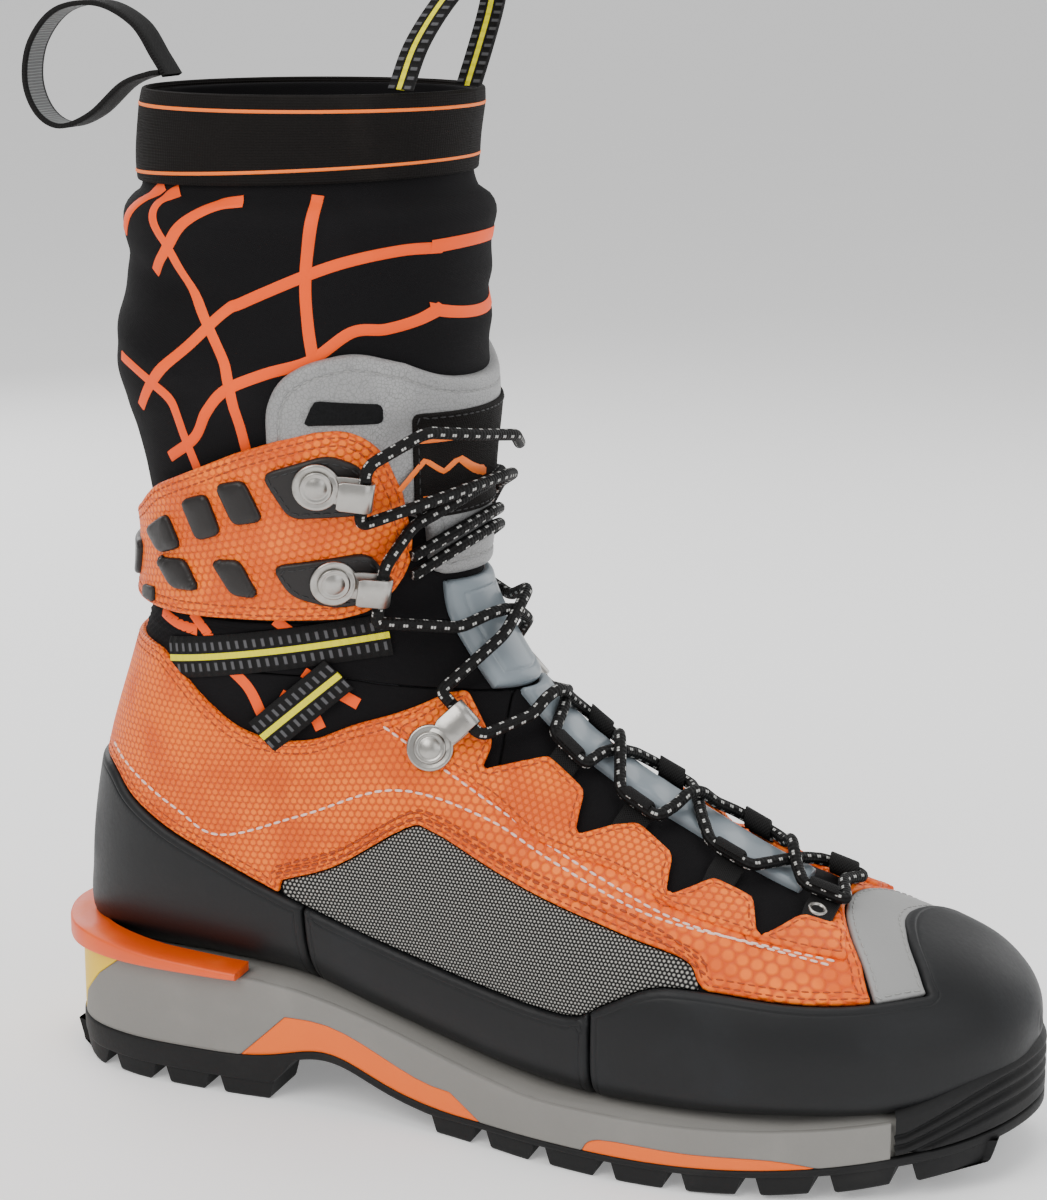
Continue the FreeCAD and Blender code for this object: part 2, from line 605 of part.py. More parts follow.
CUFF_EDGE = ((-10.0, 171.0), (30.0, 176.0), (41.0, 183.0), (49.0, 190.0), (65.0, 197.0), (79.0, 203.0),
             (91.0, 207.0), (102.0, 210.0), (109.0, 210.5), (114.0, 208.0), (118.0, 203.0), (121.0, 191.0),
             (122.0, 178.0), (121.5, 170.0), (118.0, 162.0), (112.0, 156.0), (104.0, 154.0), (74.0, 153.5),
             (56.0, 152.5), (-10.0, 152.0))
CUFF_LUGS = (
    ((45.0, 176.0), (55.0, 183.0), (60.0, 173.0), (51.0, 169.5)),
    ((61.0, 188.0), (70.0, 191.0), (74.0, 179.0), (66.0, 176.0)),
    ((73.0, 194.0), (82.0, 196.0), (87.0, 184.0), (78.0, 182.0)),
    ((49.0, 168.0), (61.0, 170.0), (66.0, 161.0), (56.0, 160.0)),
    ((70.0, 171.0), (79.0, 172.0), (84.0, 161.0), (76.0, 161.0)),
)
HEEL_LUG = ((-10.0, 158.0), (38.0, 158.0), (41.0, 170.0), (-10.0, 170.0))
SIZE_TAG = ((41.8, 153.6), (48.0, 153.6), (48.0, 158.5), (41.8, 157.4))
HOOK_PLATES = (
    ((87.0, 198.0), (105.0, 204.0), (113.0, 200.0), (113.0, 186.0), (94.0, 185.0)),
    ((88.0, 171.0), (112.0, 175.0), (115.5, 168.0), (111.0, 159.0), (103.0, 158.0), (92.0, 162.0)),
)
TONGUE_PAD = ((126.5, 164.0), (126.0, 183.0), (87.5, 185.0), (88.0, 216.0), (92.0, 224.0), (100.0, 229.0),
              (113.0, 232.0), (124.0, 228.0), (133.0, 222.0), (150.0, 219.0), (150.0, 164.0))
LABEL = ((124.0, 214.0), (123.0, 183.0), (150.0, 180.0), (150.0, 212.0))
PATCH = ((99.0, 212.0), (102.0, 219.0), (118.0, 217.5), (118.0, 212.0))


RIDGE = ((236.5, 60.0), (236.5, 100.0), (200.0, 130.0), (170.0, 129.2), (135.0, 131.4), (135.0, 118.0),
         (160.0, 98.0), (200.0, 72.0))
FLEX = ((120.0, 133.0), (170.0, 130.0), (170.0, 162.0), (120.0, 162.0))
ridge_half = 9.0             # the raised spine of the tongue, under the lace
flex_half = 15.0
ridge_wall = 2.6


def cuff_offsets():
    start = gap + pad_wall + gap
    return start, start + cuff_wall


def make_flex_zone():
    """Stretch fabric round the ankle between the boot and the cuff."""
    clear = 0.3
    low = [(x, z + clear) for x, z in LOWER_JOIN]
    high = [(x, z - clear) for x, z in UPPER_JOIN]
    save("ankle_gusset", panel([*low, *reversed(high)], -sock_wall, 0.0))
    for side, name in ((OUTER, "outer"), (INNER, "inner")):
        upper = strip_between((50.0, 137.5), (116.5, 147.5), strap_width)
        lower = strip_between((80.0, 116.0), (103.0, 136.0), strap_width * 0.92)
        start = webbing_wall + 2 * gap
        straps = [panel(upper, gap, gap + webbing_wall, side), panel(lower, start, start + webbing_wall, side)]
        covered = prism([(-10.0, 60.0), *shifted(QUARTER_TOP, 0, 2 * seam_gap), (134.0, 60.0)])
        save("ankle_straps_" + name, Part.Compound([solid_of(s.cut(covered)) for s in straps]))


def strip_between(start, end, width):
    dx, dz = end[0] - start[0], end[1] - start[1]
    length = math.hypot(dx, dz)
    nx, nz = -dz / length * width / 2, dx / length * width / 2
    return [(start[0] + nx, start[1] + nz), (end[0] + nx, end[1] + nz),
            (end[0] - nx, end[1] - nz), (start[0] - nx, start[1] - nz)]


def make_cuff():
    sleeve = [*UPPER_JOIN, (170.0, SLEEVE_TOP), (-20.0, SLEEVE_TOP)]
    save("gaiter_sleeve", panel(sleeve, -sock_wall, 0.0))
    save("gaiter_band", panel([*BAND_LOW, (170.0, BAND_TOP), (-20.0, BAND_TOP)], gap, gap + band_wall))
    pad = [(-10.0, 154.0), (85.5, 154.5), (85.5, 203.0), (79.0, 200.5), (65.0, 195.0), (49.0, 187.5), (41.0, 181.0),
           (30.0, 174.0), (-10.0, 169.0)]
    save("cuff_padding", panel(pad, gap, gap + pad_wall))
    inside, outside = cuff_offsets()
    save("cuff_panel", panel(CUFF_EDGE, inside, outside))
    start = outside + gap
    save("heel_lug", panel(HEEL_LUG, start, start + lug_height))
    for side, name in ((OUTER, "outer"), (INNER, "inner")):
        lugs = [panel(o, start, start + lug_height, side) for o in CUFF_LUGS]
        plates = [panel(o, start, start + lug_height, side) for o in HOOK_PLATES]
        if side == OUTER:
            lugs.append(panel(SIZE_TAG, start, start + 0.8, side))
        save("cuff_lugs_" + name, Part.Compound(lugs))
        save("hook_plates_" + name, Part.Compound(plates))


def make_tongue():
    save("tongue_pad", panel(TONGUE_PAD, gap, gap + pad_wall))
    save("tongue_label", panel(LABEL, gap + pad_wall + gap, gap + pad_wall + gap + 1.0))
    patches = [panel(PATCH, gap + pad_wall + gap, gap + pad_wall + gap + 0.9, side) for side in (OUTER, INNER)]
    save("tongue_patches", Part.Compound(patches))
    centre = box(-20, 400, -ridge_half, ridge_half, 0, 400)
    save("tongue_ridge", solid_of(skin(gap, gap + ridge_wall).common(prism(RIDGE)).common(centre)))
    flank = box(-20, 400, -flex_half, flex_half, 0, 400)
    save("tongue_flex", solid_of(skin(gap, gap + ridge_wall).common(prism(FLEX)).common(flank)))


# ---------------------------------------------------------------- hooks, loops and lace

def turned(shape, origin, forward, normal):
    """Moves a piece drawn with +X forwards and +Z outwards to a place on the boot."""
    across = normal.cross(forward)
    across.normalize()
    forward = across.cross(normal)
    m = FreeCAD.Matrix(forward.x, across.x, normal.x, origin.x, forward.y, across.y, normal.y, origin.y,
                       forward.z, across.z, normal.z, origin.z, 0, 0, 0, 1)
    copy = shape.copy()
    copy.Placement = FreeCAD.Placement(m)
    return copy


lace_room = 0.5              # clearance of the lace in a hook
loop_straight = 3.9          # straight run of the lace beyond a fabric loop
loop_room = 0.85             # and in a fabric loop
hook_neck = 13.4             # rivet centre to the start of the curl
hook_tail = 7.2              # length of the curl's outer leg


def hook_shape():
    """A speed hook: a round foot, a neck, and a curl that the lace lies in."""
    channel = lace_diameter + lace_room
    foot = Part.makeCylinder(hook_disc, hook_wall)
    half = hook_width / 2
    neck = box(0, hook_neck, -half, half, 0, hook_wall)
    outer = Part.makeCylinder(channel / 2 + hook_wall, hook_width, Vector(hook_neck, -half, channel / 2 + hook_wall),
                              Vector(0, 1, 0))
    inner = Part.makeCylinder(channel / 2, hook_width, Vector(hook_neck, -half, channel / 2 + hook_wall),
                              Vector(0, 1, 0))
    curl = outer.cut(inner).common(box(hook_neck, hook_neck + 20, -half, half, -1, 20))
    leg_z = channel + hook_wall
    leg = box(hook_neck - hook_tail, hook_neck, -half, half, leg_z, leg_z + hook_wall)
    bore = Part.makeCylinder(rivet_radius * 0.5 + 0.02, 10, Vector(0, 0, -5))
    return foot.fuse([neck, curl, leg]).removeSplitter().cut(bore)


def rivet_shape():
    shank_part = Part.makeCylinder(rivet_radius * 0.5, hook_wall + 0.02, Vector(0, 0, 0))
    ball = (rivet_radius ** 2 + rivet_rise ** 2) / (2 * rivet_rise)
    dome = Part.makeSphere(ball, Vector(0, 0, hook_wall + 0.02 + rivet_rise - ball))
    dome = dome.common(box(-9, 9, -9, 9, hook_wall + 0.02, 20))
    return shank_part.fuse(dome)


# name, side-view place of the rivet, place the hook points at, and layers under the hook
HOOKS = (
    ("cuff_hook_upper", (103.5, 194.5), (114.0, 193.0), "plate"),
    ("cuff_hook_lower", (105.5, 165.5), (116.0, 164.0), "plate"),
    ("ankle_hook", (130.5, 116.0), (137.5, 123.0), "quarter"),
)


def hook_base(kind):
    if kind == "plate":
        return cuff_offsets()[1] + gap + lug_height
    return gap + panel_wall + gap + eyestay_wall


def hook_frame(place_at, towards, kind, side):
    """Origin, forward direction and outward direction of a hook on one side."""
    base = hook_base(kind) + 0.5
    origin = point_on(*place_at, side, base)
    normal = normal_on(*place_at, side, base)
    forward = point_on(*towards, side, base) - origin
    forward = forward - normal * forward.dot(normal)
    forward.normalize()
    return origin, forward, normal


def make_hooks():
    for name, place_at, towards, kind in HOOKS:
        for side, label in ((OUTER, "outer"), (INNER, "inner")):
            frame = hook_frame(place_at, towards, kind, side)
            save(name + "_" + label, turned(hook_shape(), *frame))
    for label, names in (("cuff_hook_rivets", HOOKS[:2]), ("ankle_hook_rivets", HOOKS[2:])):
        rivets = [turned(rivet_shape(), *hook_frame(a, b, kind, side))
                  for n, a, b, kind in names for side in (OUTER, INNER)]
        save(label, Part.Compound(rivets))


def rounded_path(points, longest=4.5):
    """Straight runs through the points, joined by tangent arcs."""
    edges = []
    at = points[0]
    for before, corner, after in zip(points, points[1:], points[2:]):
        a, b = before - corner, after - corner
        run = min(a.Length * 0.45, b.Length * 0.45, longest)
        a.normalize()
        b.normalize()
        start, end = corner + a * run, corner + b * run
        turn = math.pi - a.getAngle(b)
        if turn < 0.02:
            continue
        radius = run / math.tan(turn / 2)
        bisector = a + b
        bisector.normalize()
        middle = corner + bisector * (math.hypot(radius, run) - radius)
        edges.append(Part.makeLine(at, start))
        edges.append(Part.Arc(start, middle, end).toShape())
        at = end
    edges.append(Part.makeLine(at, points[-1]))
    return Part.Wire(edges)


def tube(points, diameter):
    path = rounded_path(points)
    circle = Part.Circle(points[0], points[1] - points[0], diameter / 2).toShape()
    return path.makePipeShell([Part.Wire([circle])], True, False)


def hook_run(hook, side, low=3.2, high=3.2):
    """Two ends of the lace's straight run through a hook's curl, and how far they stand out of it."""
    origin, forward, normal = hook_frame(*HOOKS[hook][1:], side)
    across = normal.cross(forward)
    if across.z < 0:
        across = across * -1
    seat = origin + forward * hook_neck + normal * (hook_wall + (lace_diameter + lace_room) / 2)
    half = hook_width / 2
    return [seat - across * (half + low), seat + across * (half + high)]


# fabric loops that hold the lace at the tabs of the eyestay: stations from the ankle to the toe
LOOP_STATIONS = (10.35, 8.85, 7.35, 6.0)
LOOP_ANGLES = (0.33, 0.33, 0.27, 0.2)
CUFF_UPPER, CUFF_LOWER, ANKLE = 0, 1, 2
lace_lift = 5.5              # centre of the lace over the last, below the ankle
lace_lift_cuff = 7.5         # and above it, over the tongue pad
crossing_rise = 4.1          # one lace over the other
hook_straight = 4.6          # straight run of the lace beyond an upper hook
lace_cut = 0.5               # from a hook to where one stretch of lace ends and the next begins
lace_turn = 5.6              # from a hook to the corner of the lace over the ankle


def loop_seat(row, side, run=0.0):
    return ridge_point(LOOP_STATIONS[row] + run, lace_lift, side * LOOP_ANGLES[row])


def loop_direction(row, side):
    along = loop_seat(row, side, 0.2) - loop_seat(row, side, -0.2)
    along.normalize()
    return along


def loop_run(row, side):
    reach = webbing_width * 0.25 + loop_straight
    along = loop_direction(row, side) * reach
    seat = loop_seat(row, side)
    return [seat - along, seat + along]


def make_lace_loops():
    length = webbing_width * 0.5
    bore = lace_diameter / 2 + loop_room
    for side, name in ((OUTER, "outer"), (INNER, "inner")):
        loops = []
        for row in range(len(LOOP_STATIONS)):
            seat, along = loop_seat(row, side), loop_direction(row, side)
            start = seat - along * length / 2
            ring = Part.makeCylinder(bore + webbing_wall, length, start, along)
            below = ridge_point(LOOP_STATIONS[row], gap, side * LOOP_ANGLES[row]) - seat
            foot = Part.makeBox(length, 2 * webbing_wall, below.Length - 0.4)
            below.normalize()
            foot = turned(foot, start + along.cross(below) * webbing_wall, along, below)
            hole = Part.makeCylinder(bore, length + 2, start - along, along)
            loops.append(ring.fuse(foot).cut(hole))
        save("lace_loops_" + name, Part.Compound([solid_of(r.cut(form(2 * gap)).cut(covers[side])) for r in loops]))


def over_ridge(u0, a0, u1, a1, lift, rise):
    """Points of a lace that crosses the top line from one station and angle to another."""
    points = []
    for t, share in ((0.25, 0.2), (0.4, 0.85), (0.5, 1.0), (0.6, 0.85), (0.75, 0.2)):
        angle = a0 + (a1 - a0) * t
        points.append(ridge_point(u0 + (u1 - u0) * t, lift + rise * share, angle))
    return points


ANKLE_LEAVE = 12.35          # station and angle where a lace comes to the ankle hook, and leaves it
ANKLE_ANGLE = 0.62
CUFF_ARRIVE = 15.6
CUFF_ANGLE = 0.85


def lower_strand(first, rise):
    """From the toe's centre to the ankle hook. first is the side it goes to first."""
    points = [ridge_point(LOOP_STATIONS[3] - 0.12, lace_lift + 0.3, 0.0)]
    side = first
    rows = range(len(LOOP_STATIONS) - 1, -1, -1)
    for row in rows:
        points += loop_run(row, side)
        if row:
            points += over_ridge(LOOP_STATIONS[row] + 0.35, side * LOOP_ANGLES[row], LOOP_STATIONS[row - 1] - 0.35,
                                 -side * LOOP_ANGLES[row - 1], lace_lift, rise)
        side = -side
    points += over_ridge(LOOP_STATIONS[0] + 0.35, -side * 0.3, ANKLE_LEAVE - 0.75, side * ANKLE_ANGLE,
                         lace_lift, rise)
    return points + hook_run(ANKLE, side, high=lace_cut)


def make_lower_lace():
    outer, inner = lower_strand(OUTER, crossing_rise), lower_strand(INNER, 0.0)
    save("lace_lower", tube([*reversed(inner), *outer[1:]], lace_diameter))


def make_ankle_lace():
    strands = []
    for side, rise in ((OUTER, crossing_rise), (INNER, 0.0)):
        lower = hook_run(ANKLE, side, lace_cut, lace_cut + 0.3)[1]
        upper = hook_run(CUFF_LOWER, -side, lace_cut + 0.3)[0]
        middle = over_ridge(ANKLE_LEAVE + 0.25, side * ANKLE_ANGLE, CUFF_ARRIVE, -side * CUFF_ANGLE,
                            lace_lift_cuff, rise)
        turns = hook_run(ANKLE, side, high=lace_turn)[1], hook_run(CUFF_LOWER, -side, low=lace_turn)[0]
        strands.append(tube([lower, turns[0], *middle, turns[1], upper], lace_diameter))
    save("lace_ankle", Part.Compound(strands))


def station_at(z):
    """Station whose front point is at height z."""
    for i in range(12, len(STATIONS) - 1):
        z0, z1 = STATIONS[i][1], STATIONS[i + 1][1]
        if z0 <= z <= z1:
            return i + (z - z0) / (z1 - z0)
    return 12.0


def front_run(z0, side, z1, lift, rise=0.0, spread=0.66):
    """Points of a lace that crosses the front of the cuff from one side to the other."""
    points = []
    for t, share in ((0.0, 0.0), (0.25, 0.3), (0.5, 1.0), (0.75, 0.3), (1.0, 0.0)):
        angle = side * spread * (1 - 2 * t)
        points.append(ridge_point(station_at(z0 + (z1 - z0) * t), lift + rise * share, angle))
    return points


def make_upper_lace():
    lift = lace_lift_cuff
    over, under = lift + crossing_rise, lift
    low_outer, low_inner = (hook_run(CUFF_LOWER, side, lace_cut) for side in (OUTER, INNER))
    top_outer, top_inner = (hook_run(CUFF_UPPER, side, hook_straight, hook_straight) for side in (OUTER, INNER))
    first = [*low_inner, *front_run(184.0, INNER, 189.0, over), *top_outer,
             *front_run(210.0, OUTER, 190.0, over, 2.5)[:4]]
    second = [*low_outer, *front_run(184.0, OUTER, 189.0, under), *top_inner]
    windings = []
    for z in (176.5, 171.8):
        windings.append(tube(front_run(z, OUTER, z, lift), lace_diameter))
    save("lace_upper", Part.Compound([tube(first, lace_diameter), tube(second, lace_diameter)] + windings))


# ---------------------------------------------------------------- pull loops

def ribbon(spine, sides, width, wall):
    """A flat strip through the spine points. sides holds the direction of its width at each one."""
    wires = []
    for k, (at, side) in enumerate(zip(spine, sides)):
        ahead = spine[min(k + 1, len(spine) - 1)] - spine[max(k - 1, 0)]
        normal = ahead.cross(side)
        normal.normalize()
        w, n = side * (width / 2), normal * (wall / 2)
        corners = [at - w - n, at + w - n, at + w + n, at - w + n]
        wires.append(Part.makePolygon(corners + corners[:1]))
    return Part.makeLoft(wires, True, True)


# rear loop: middle of the webbing in side view, as shares of its reach
REAR_LOOP = ((-0.06, 0.10), (-0.20, 0.30), (-0.45, 0.42), (-0.74, 0.38), (-0.93, 0.18), (-0.98, -0.07),
             (-0.90, -0.27), (-0.74, -0.35), (-0.52, -0.27), (-0.29, -0.08), (-0.10, -0.01))
REAR_FOOT = (36.0, 306.0)
# front loop: share of the way between its feet, of its rise, and of its lean
FRONT_LOOP = ((0.0, 0.0, 0.0), (0.10, 0.35, 0.22), (0.24, 0.70, 0.60), (0.42, 0.93, 0.92), (0.60, 1.0, 1.0),
              (0.80, 0.92, 0.92), (0.95, 0.66, 0.60), (1.02, 0.32, 0.25), (1.0, 0.0, 0.0))
FRONT_FEET = (0.66, 0.06)    # angles of the front loop's feet, on the outer side


def rear_foot():
    x, z = place(*REAR_FOOT)
    return Vector(x, 0, z)


def make_rear_loop():
    foot = rear_foot()
    line = [(foot.x + x * loop_reach, foot.z + z * loop_reach) for x, z in REAR_LOOP]
    outside, inside = [], []
    for k, (x, z) in enumerate(line):
        xa, za = line[max(k - 1, 0)]
        xb, zb = line[min(k + 1, len(line) - 1)]
        length = math.hypot(xb - xa, zb - za)
        nx, nz = (zb - za) / length * loop_wall / 2, (xa - xb) / length * loop_wall / 2
        outside.append(Vector(x - nx, -loop_width / 2, z - nz))
        inside.append(Vector(x + nx, -loop_width / 2, z + nz))
    edges = [open_curve(outside), Part.makeLine(outside[-1], inside[-1]), open_curve(inside[::-1]),
             Part.makeLine(inside[0], outside[0])]
    webbing = Part.Face(Part.Wire(edges)).extrude(Vector(0, loop_width, 0))
    pin = Part.makeBox(5.0, loop_width, 4.6, foot + Vector(-5.6, -loop_width / 2, -1.2))
    save("rear_pull_loop", webbing.fuse(pin).removeSplitter())


def front_feet():
    """Feet of the front loop on the band's top edge, from the outer side to the front."""
    u = station_at(BAND_TOP) if BAND_TOP < STATIONS[-1][1] else len(STATIONS) - 1.0
    feet = [ridge_point(u, band_wall * 0.5, OUTER * angle) for angle in FRONT_FEET]
    top = place(0, BAND_TOP)[1] + loop_clear
    return [Vector(p.x, p.y, top) for p in feet]


def make_front_loop():
    a, b = front_feet()
    span = b - a
    flat = Vector(span.x, span.y, 0)
    flat.normalize()
    out = Vector(flat.y, -flat.x, 0)
    spine, sides = [], []
    for t, rise, lean in FRONT_LOOP:
        spine.append(a + span * t + Vector(0, 0, rise * loop_rise) + out * (lean * loop_lean))
        sides.append(out)
    save("front_pull_loop", ribbon(spine, sides, front_loop_width, loop_wall))


def build():
    make_sole()
    make_heel_welt()
    make_toe_bumper()
    make_rands()
    make_panels()
    lining_in = make_inner_boot()
    make_floor(lining_in)
    make_flex_zone()
    make_cuff()
    make_tongue()
    make_hooks()
    make_lace_loops()
    make_lower_lace()
    make_ankle_lace()
    make_upper_lace()
    make_rear_loop()
    make_front_loop()


build()
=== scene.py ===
import math

import bmesh
import bpy
import numpy as np
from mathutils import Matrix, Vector


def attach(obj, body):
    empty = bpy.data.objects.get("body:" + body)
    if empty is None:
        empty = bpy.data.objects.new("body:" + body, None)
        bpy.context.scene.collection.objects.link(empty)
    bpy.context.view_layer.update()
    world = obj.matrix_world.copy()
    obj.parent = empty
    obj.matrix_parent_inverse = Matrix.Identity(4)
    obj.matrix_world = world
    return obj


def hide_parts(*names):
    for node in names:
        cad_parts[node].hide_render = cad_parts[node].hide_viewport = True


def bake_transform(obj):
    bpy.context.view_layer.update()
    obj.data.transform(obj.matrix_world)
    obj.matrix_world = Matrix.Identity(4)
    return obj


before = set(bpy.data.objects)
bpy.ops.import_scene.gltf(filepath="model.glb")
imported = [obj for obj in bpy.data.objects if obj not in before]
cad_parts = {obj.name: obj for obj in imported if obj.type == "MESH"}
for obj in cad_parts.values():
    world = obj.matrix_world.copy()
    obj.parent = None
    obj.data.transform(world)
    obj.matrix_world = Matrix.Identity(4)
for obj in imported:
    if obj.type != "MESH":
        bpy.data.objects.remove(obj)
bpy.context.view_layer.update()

# shapes are drawn in millimetres with x from the heel's back, y to the inner side, z from the ground
mm = 0.001
heelMiddle = 39.0      # the frame's origin, from the heel's back
outer, inner = -1, 1
materials = {}


def toFrame(points):
    return (np.asarray(points, float) - (heelMiddle, 0.0, 0.0)) * mm


def finishPiece(piece, material, body, replaces=()):
    if material:
        piece.data.materials.clear()
        piece.data.materials.append(materials[material])
    if body:
        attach(piece, body)
    if replaces:
        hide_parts(*replaces)
    return piece


cameraSet = {"place": (425.7, -762.2, 351.0), "lookAt": (147.62, 0.0, 154.27), "lens": 84.7}


def setCamera():
    data = bpy.data.cameras.new("camera")
    data.lens = cameraSet["lens"]
    data.sensor_width = 36.0
    data.clip_start = 0.05
    camera = bpy.data.objects.new("camera", data)
    place = Vector(toFrame(cameraSet["place"]))
    camera.location = place
    camera.rotation_euler = (Vector(toFrame(cameraSet["lookAt"])) - place).to_track_quat("-Z",
                                                                                         "Y").to_euler()
    bpy.context.scene.collection.objects.link(camera)
    bpy.context.scene.camera = camera


lightSet = {
    # name: place in metres, size, watts, colour
    "keyLight": ((-0.25, -1.05, 1.15), 0.9, 13.0, (1.0, 0.985, 0.96)),
    "fillLight": ((1.15, -0.55, 0.65), 1.0, 5.0, (0.96, 0.98, 1.0)),
    "topLight": ((0.1, 0.15, 1.35), 1.1, 8.0, (1.0, 1.0, 1.0)),
    "backLight": ((-0.8, 0.75, 0.6), 0.7, 5.0, (1.0, 1.0, 1.0)),
    "innerLight": ((0.7, 0.9, 0.5), 0.8, 3.5, (1.0, 1.0, 1.0)),
}


def setLights():
    for name, (place, size, watts, colour) in lightSet.items():
        data = bpy.data.lights.new(name, "AREA")
        data.size = size
        data.energy = watts
        data.color = colour
        light = bpy.data.objects.new(name, data)
        light.location = place
        light.rotation_euler = (Vector((0.1, 0, 0.13)) - Vector(place)).to_track_quat("-Z", "Y").to_euler()
        bpy.context.scene.collection.objects.link(light)
    world = bpy.data.worlds.new("studio")
    world.use_nodes = True
    world.node_tree.nodes["Background"].inputs["Color"].default_value = (1.0, 1.0, 1.0, 1.0)
    world.node_tree.nodes["Background"].inputs["Strength"].default_value = 0.62
    bpy.context.scene.world = world


def makeFloor():
    mesh = bpy.data.meshes.new("floor")
    size = 60.0
    mesh.from_pydata([(-size, -size, 0), (size, -size, 0), (size, size, 0), (-size, size, 0)], [],
                     [(0, 1, 2, 3)])
    floor = bpy.data.objects.new("floor", mesh)
    bpy.context.scene.collection.objects.link(floor)
    floor.data.materials.append(materials["paleFloor"])


def addNode(tree, kind, label=None, **settings):
    node = tree.nodes.new(kind)
    if label:
        node.label = label
    for key, value in settings.items():
        setattr(node, key, value)
    return node


def feed(tree, node, socket, value):
    # value is a node's output or a plain number or colour.
    target = node.inputs[socket]
    if isinstance(value, bpy.types.NodeSocket):
        tree.links.new(value, target)
    elif isinstance(value, tuple) and target.type == "RGBA" and len(value) == 3:
        target.default_value = (*value, 1.0)
    else:
        target.default_value = value


def math2(tree, operation, a, b=None, c=None, clamp=False):
    node = addNode(tree, "ShaderNodeMath", operation=operation, use_clamp=clamp)
    for k, value in enumerate((a, b, c)):
        if value is not None:
            feed(tree, node, k, value)
    return node.outputs[0]


def vector2(tree, operation, a, b=None, c=None, scale=None):
    node = addNode(tree, "ShaderNodeVectorMath", operation=operation)
    for k, value in enumerate((a, b, c)):
        if value is not None:
            feed(tree, node, k, value)
    if scale is not None:
        feed(tree, node, "Scale", scale)
    return node.outputs["Value"] if operation in ("LENGTH", "DISTANCE", "DOT_PRODUCT") else node.outputs[0]


def mixColour(tree, share, a, b, blend="MIX"):
    node = addNode(tree, "ShaderNodeMix", data_type="RGBA", blend_type=blend)
    feed(tree, node, 0, share)
    feed(tree, node, 6, a)
    feed(tree, node, 7, b)
    return node.outputs[2]


def ramp(tree, value, low, high, outLow=0.0, outHigh=1.0):
    node = addNode(tree, "ShaderNodeMapRange", interpolation_type="SMOOTHSTEP")
    feed(tree, node, 0, value)
    for k, number in enumerate((low, high, outLow, outHigh)):
        node.inputs[k + 1].default_value = number
    return node.outputs[0]


def noise(tree, place, scale, detail=3.0, roughness=0.55):
    node = addNode(tree, "ShaderNodeTexNoise")
    feed(tree, node, "Vector", place)
    node.inputs["Scale"].default_value = scale
    node.inputs["Detail"].default_value = detail
    node.inputs["Roughness"].default_value = roughness
    return node.outputs["Fac"]


def bump(tree, height, strength, distance, normal=None):
    node = addNode(tree, "ShaderNodeBump")
    node.inputs["Strength"].default_value = strength
    node.inputs["Distance"].default_value = distance
    feed(tree, node, "Height", height)
    if normal is not None:
        feed(tree, node, "Normal", normal)
    return node.outputs[0]


def objectPlace(tree):
    return addNode(tree, "ShaderNodeTexCoord").outputs["Object"]


def surfacePlace(tree):
    return addNode(tree, "ShaderNodeUVMap", uv_map="UVMap").outputs[0]


groups = {}


def makeGroup(name, inputs, outputs):
    tree = bpy.data.node_groups.new(name, "ShaderNodeTree")
    for label, kind, value in inputs:
        socket = tree.interface.new_socket(label, in_out="INPUT", socket_type=kind)
        if value is not None:
            socket.default_value = value
    for label, kind in outputs:
        tree.interface.new_socket(label, in_out="OUTPUT", socket_type=kind)
    groups[name] = tree
    return tree, tree.nodes.new("NodeGroupInput"), tree.nodes.new("NodeGroupOutput")


def useGroup(tree, name, **values):
    node = addNode(tree, "ShaderNodeGroup")
    node.node_tree = groups[name]
    for key, value in values.items():
        feed(tree, node, key, value)
    return node


def makeWearGroup():
    # uneven tone: broad cloudy change, fine speckle and pale dust
    tree, enter, leave = makeGroup(
        "toneWear",
        [("Colour", "NodeSocketColor", (0.5, 0.5, 0.5, 1)),
         ("Dust", "NodeSocketColor", (0.5, 0.48, 0.45, 1)),
         ("Cloud", "NodeSocketFloat", 0.1), ("DustShare", "NodeSocketFloat", 0.1),
         ("Size", "NodeSocketFloat", 30.0), ("Roughness", "NodeSocketFloat", 0.6)],
        [("Colour", "NodeSocketColor"), ("Roughness", "NodeSocketFloat"), ("Grain", "NodeSocketFloat")])
    place = objectPlace(tree)
    broad = addNode(tree, "ShaderNodeTexNoise")
    feed(tree, broad, "Vector", place)
    feed(tree, broad, "Scale", enter.outputs["Size"])
    broad.inputs["Detail"].default_value = 5.0
    fine = noise(tree, place, 900.0, 2.0)
    tone = math2(tree, "MULTIPLY_ADD", math2(tree, "SUBTRACT", broad.outputs["Fac"], 0.5),
                 enter.outputs["Cloud"], 1.0)
    shaded = vector2(tree, "SCALE", enter.outputs["Colour"], scale=tone)
    dusty = math2(tree, "MULTIPLY", ramp(tree, broad.outputs["Fac"], 0.52, 0.75),
                  enter.outputs["DustShare"])
    colour = mixColour(tree, dusty, shaded, enter.outputs["Dust"])
    rough = math2(tree, "MULTIPLY_ADD", math2(tree, "SUBTRACT", fine, 0.5), 0.12,
                  enter.outputs["Roughness"])
    rough = math2(tree, "MULTIPLY_ADD", dusty, 0.3, rough)
    feed(tree, leave, "Colour", colour)
    feed(tree, leave, "Roughness", rough)
    feed(tree, leave, "Grain", fine)


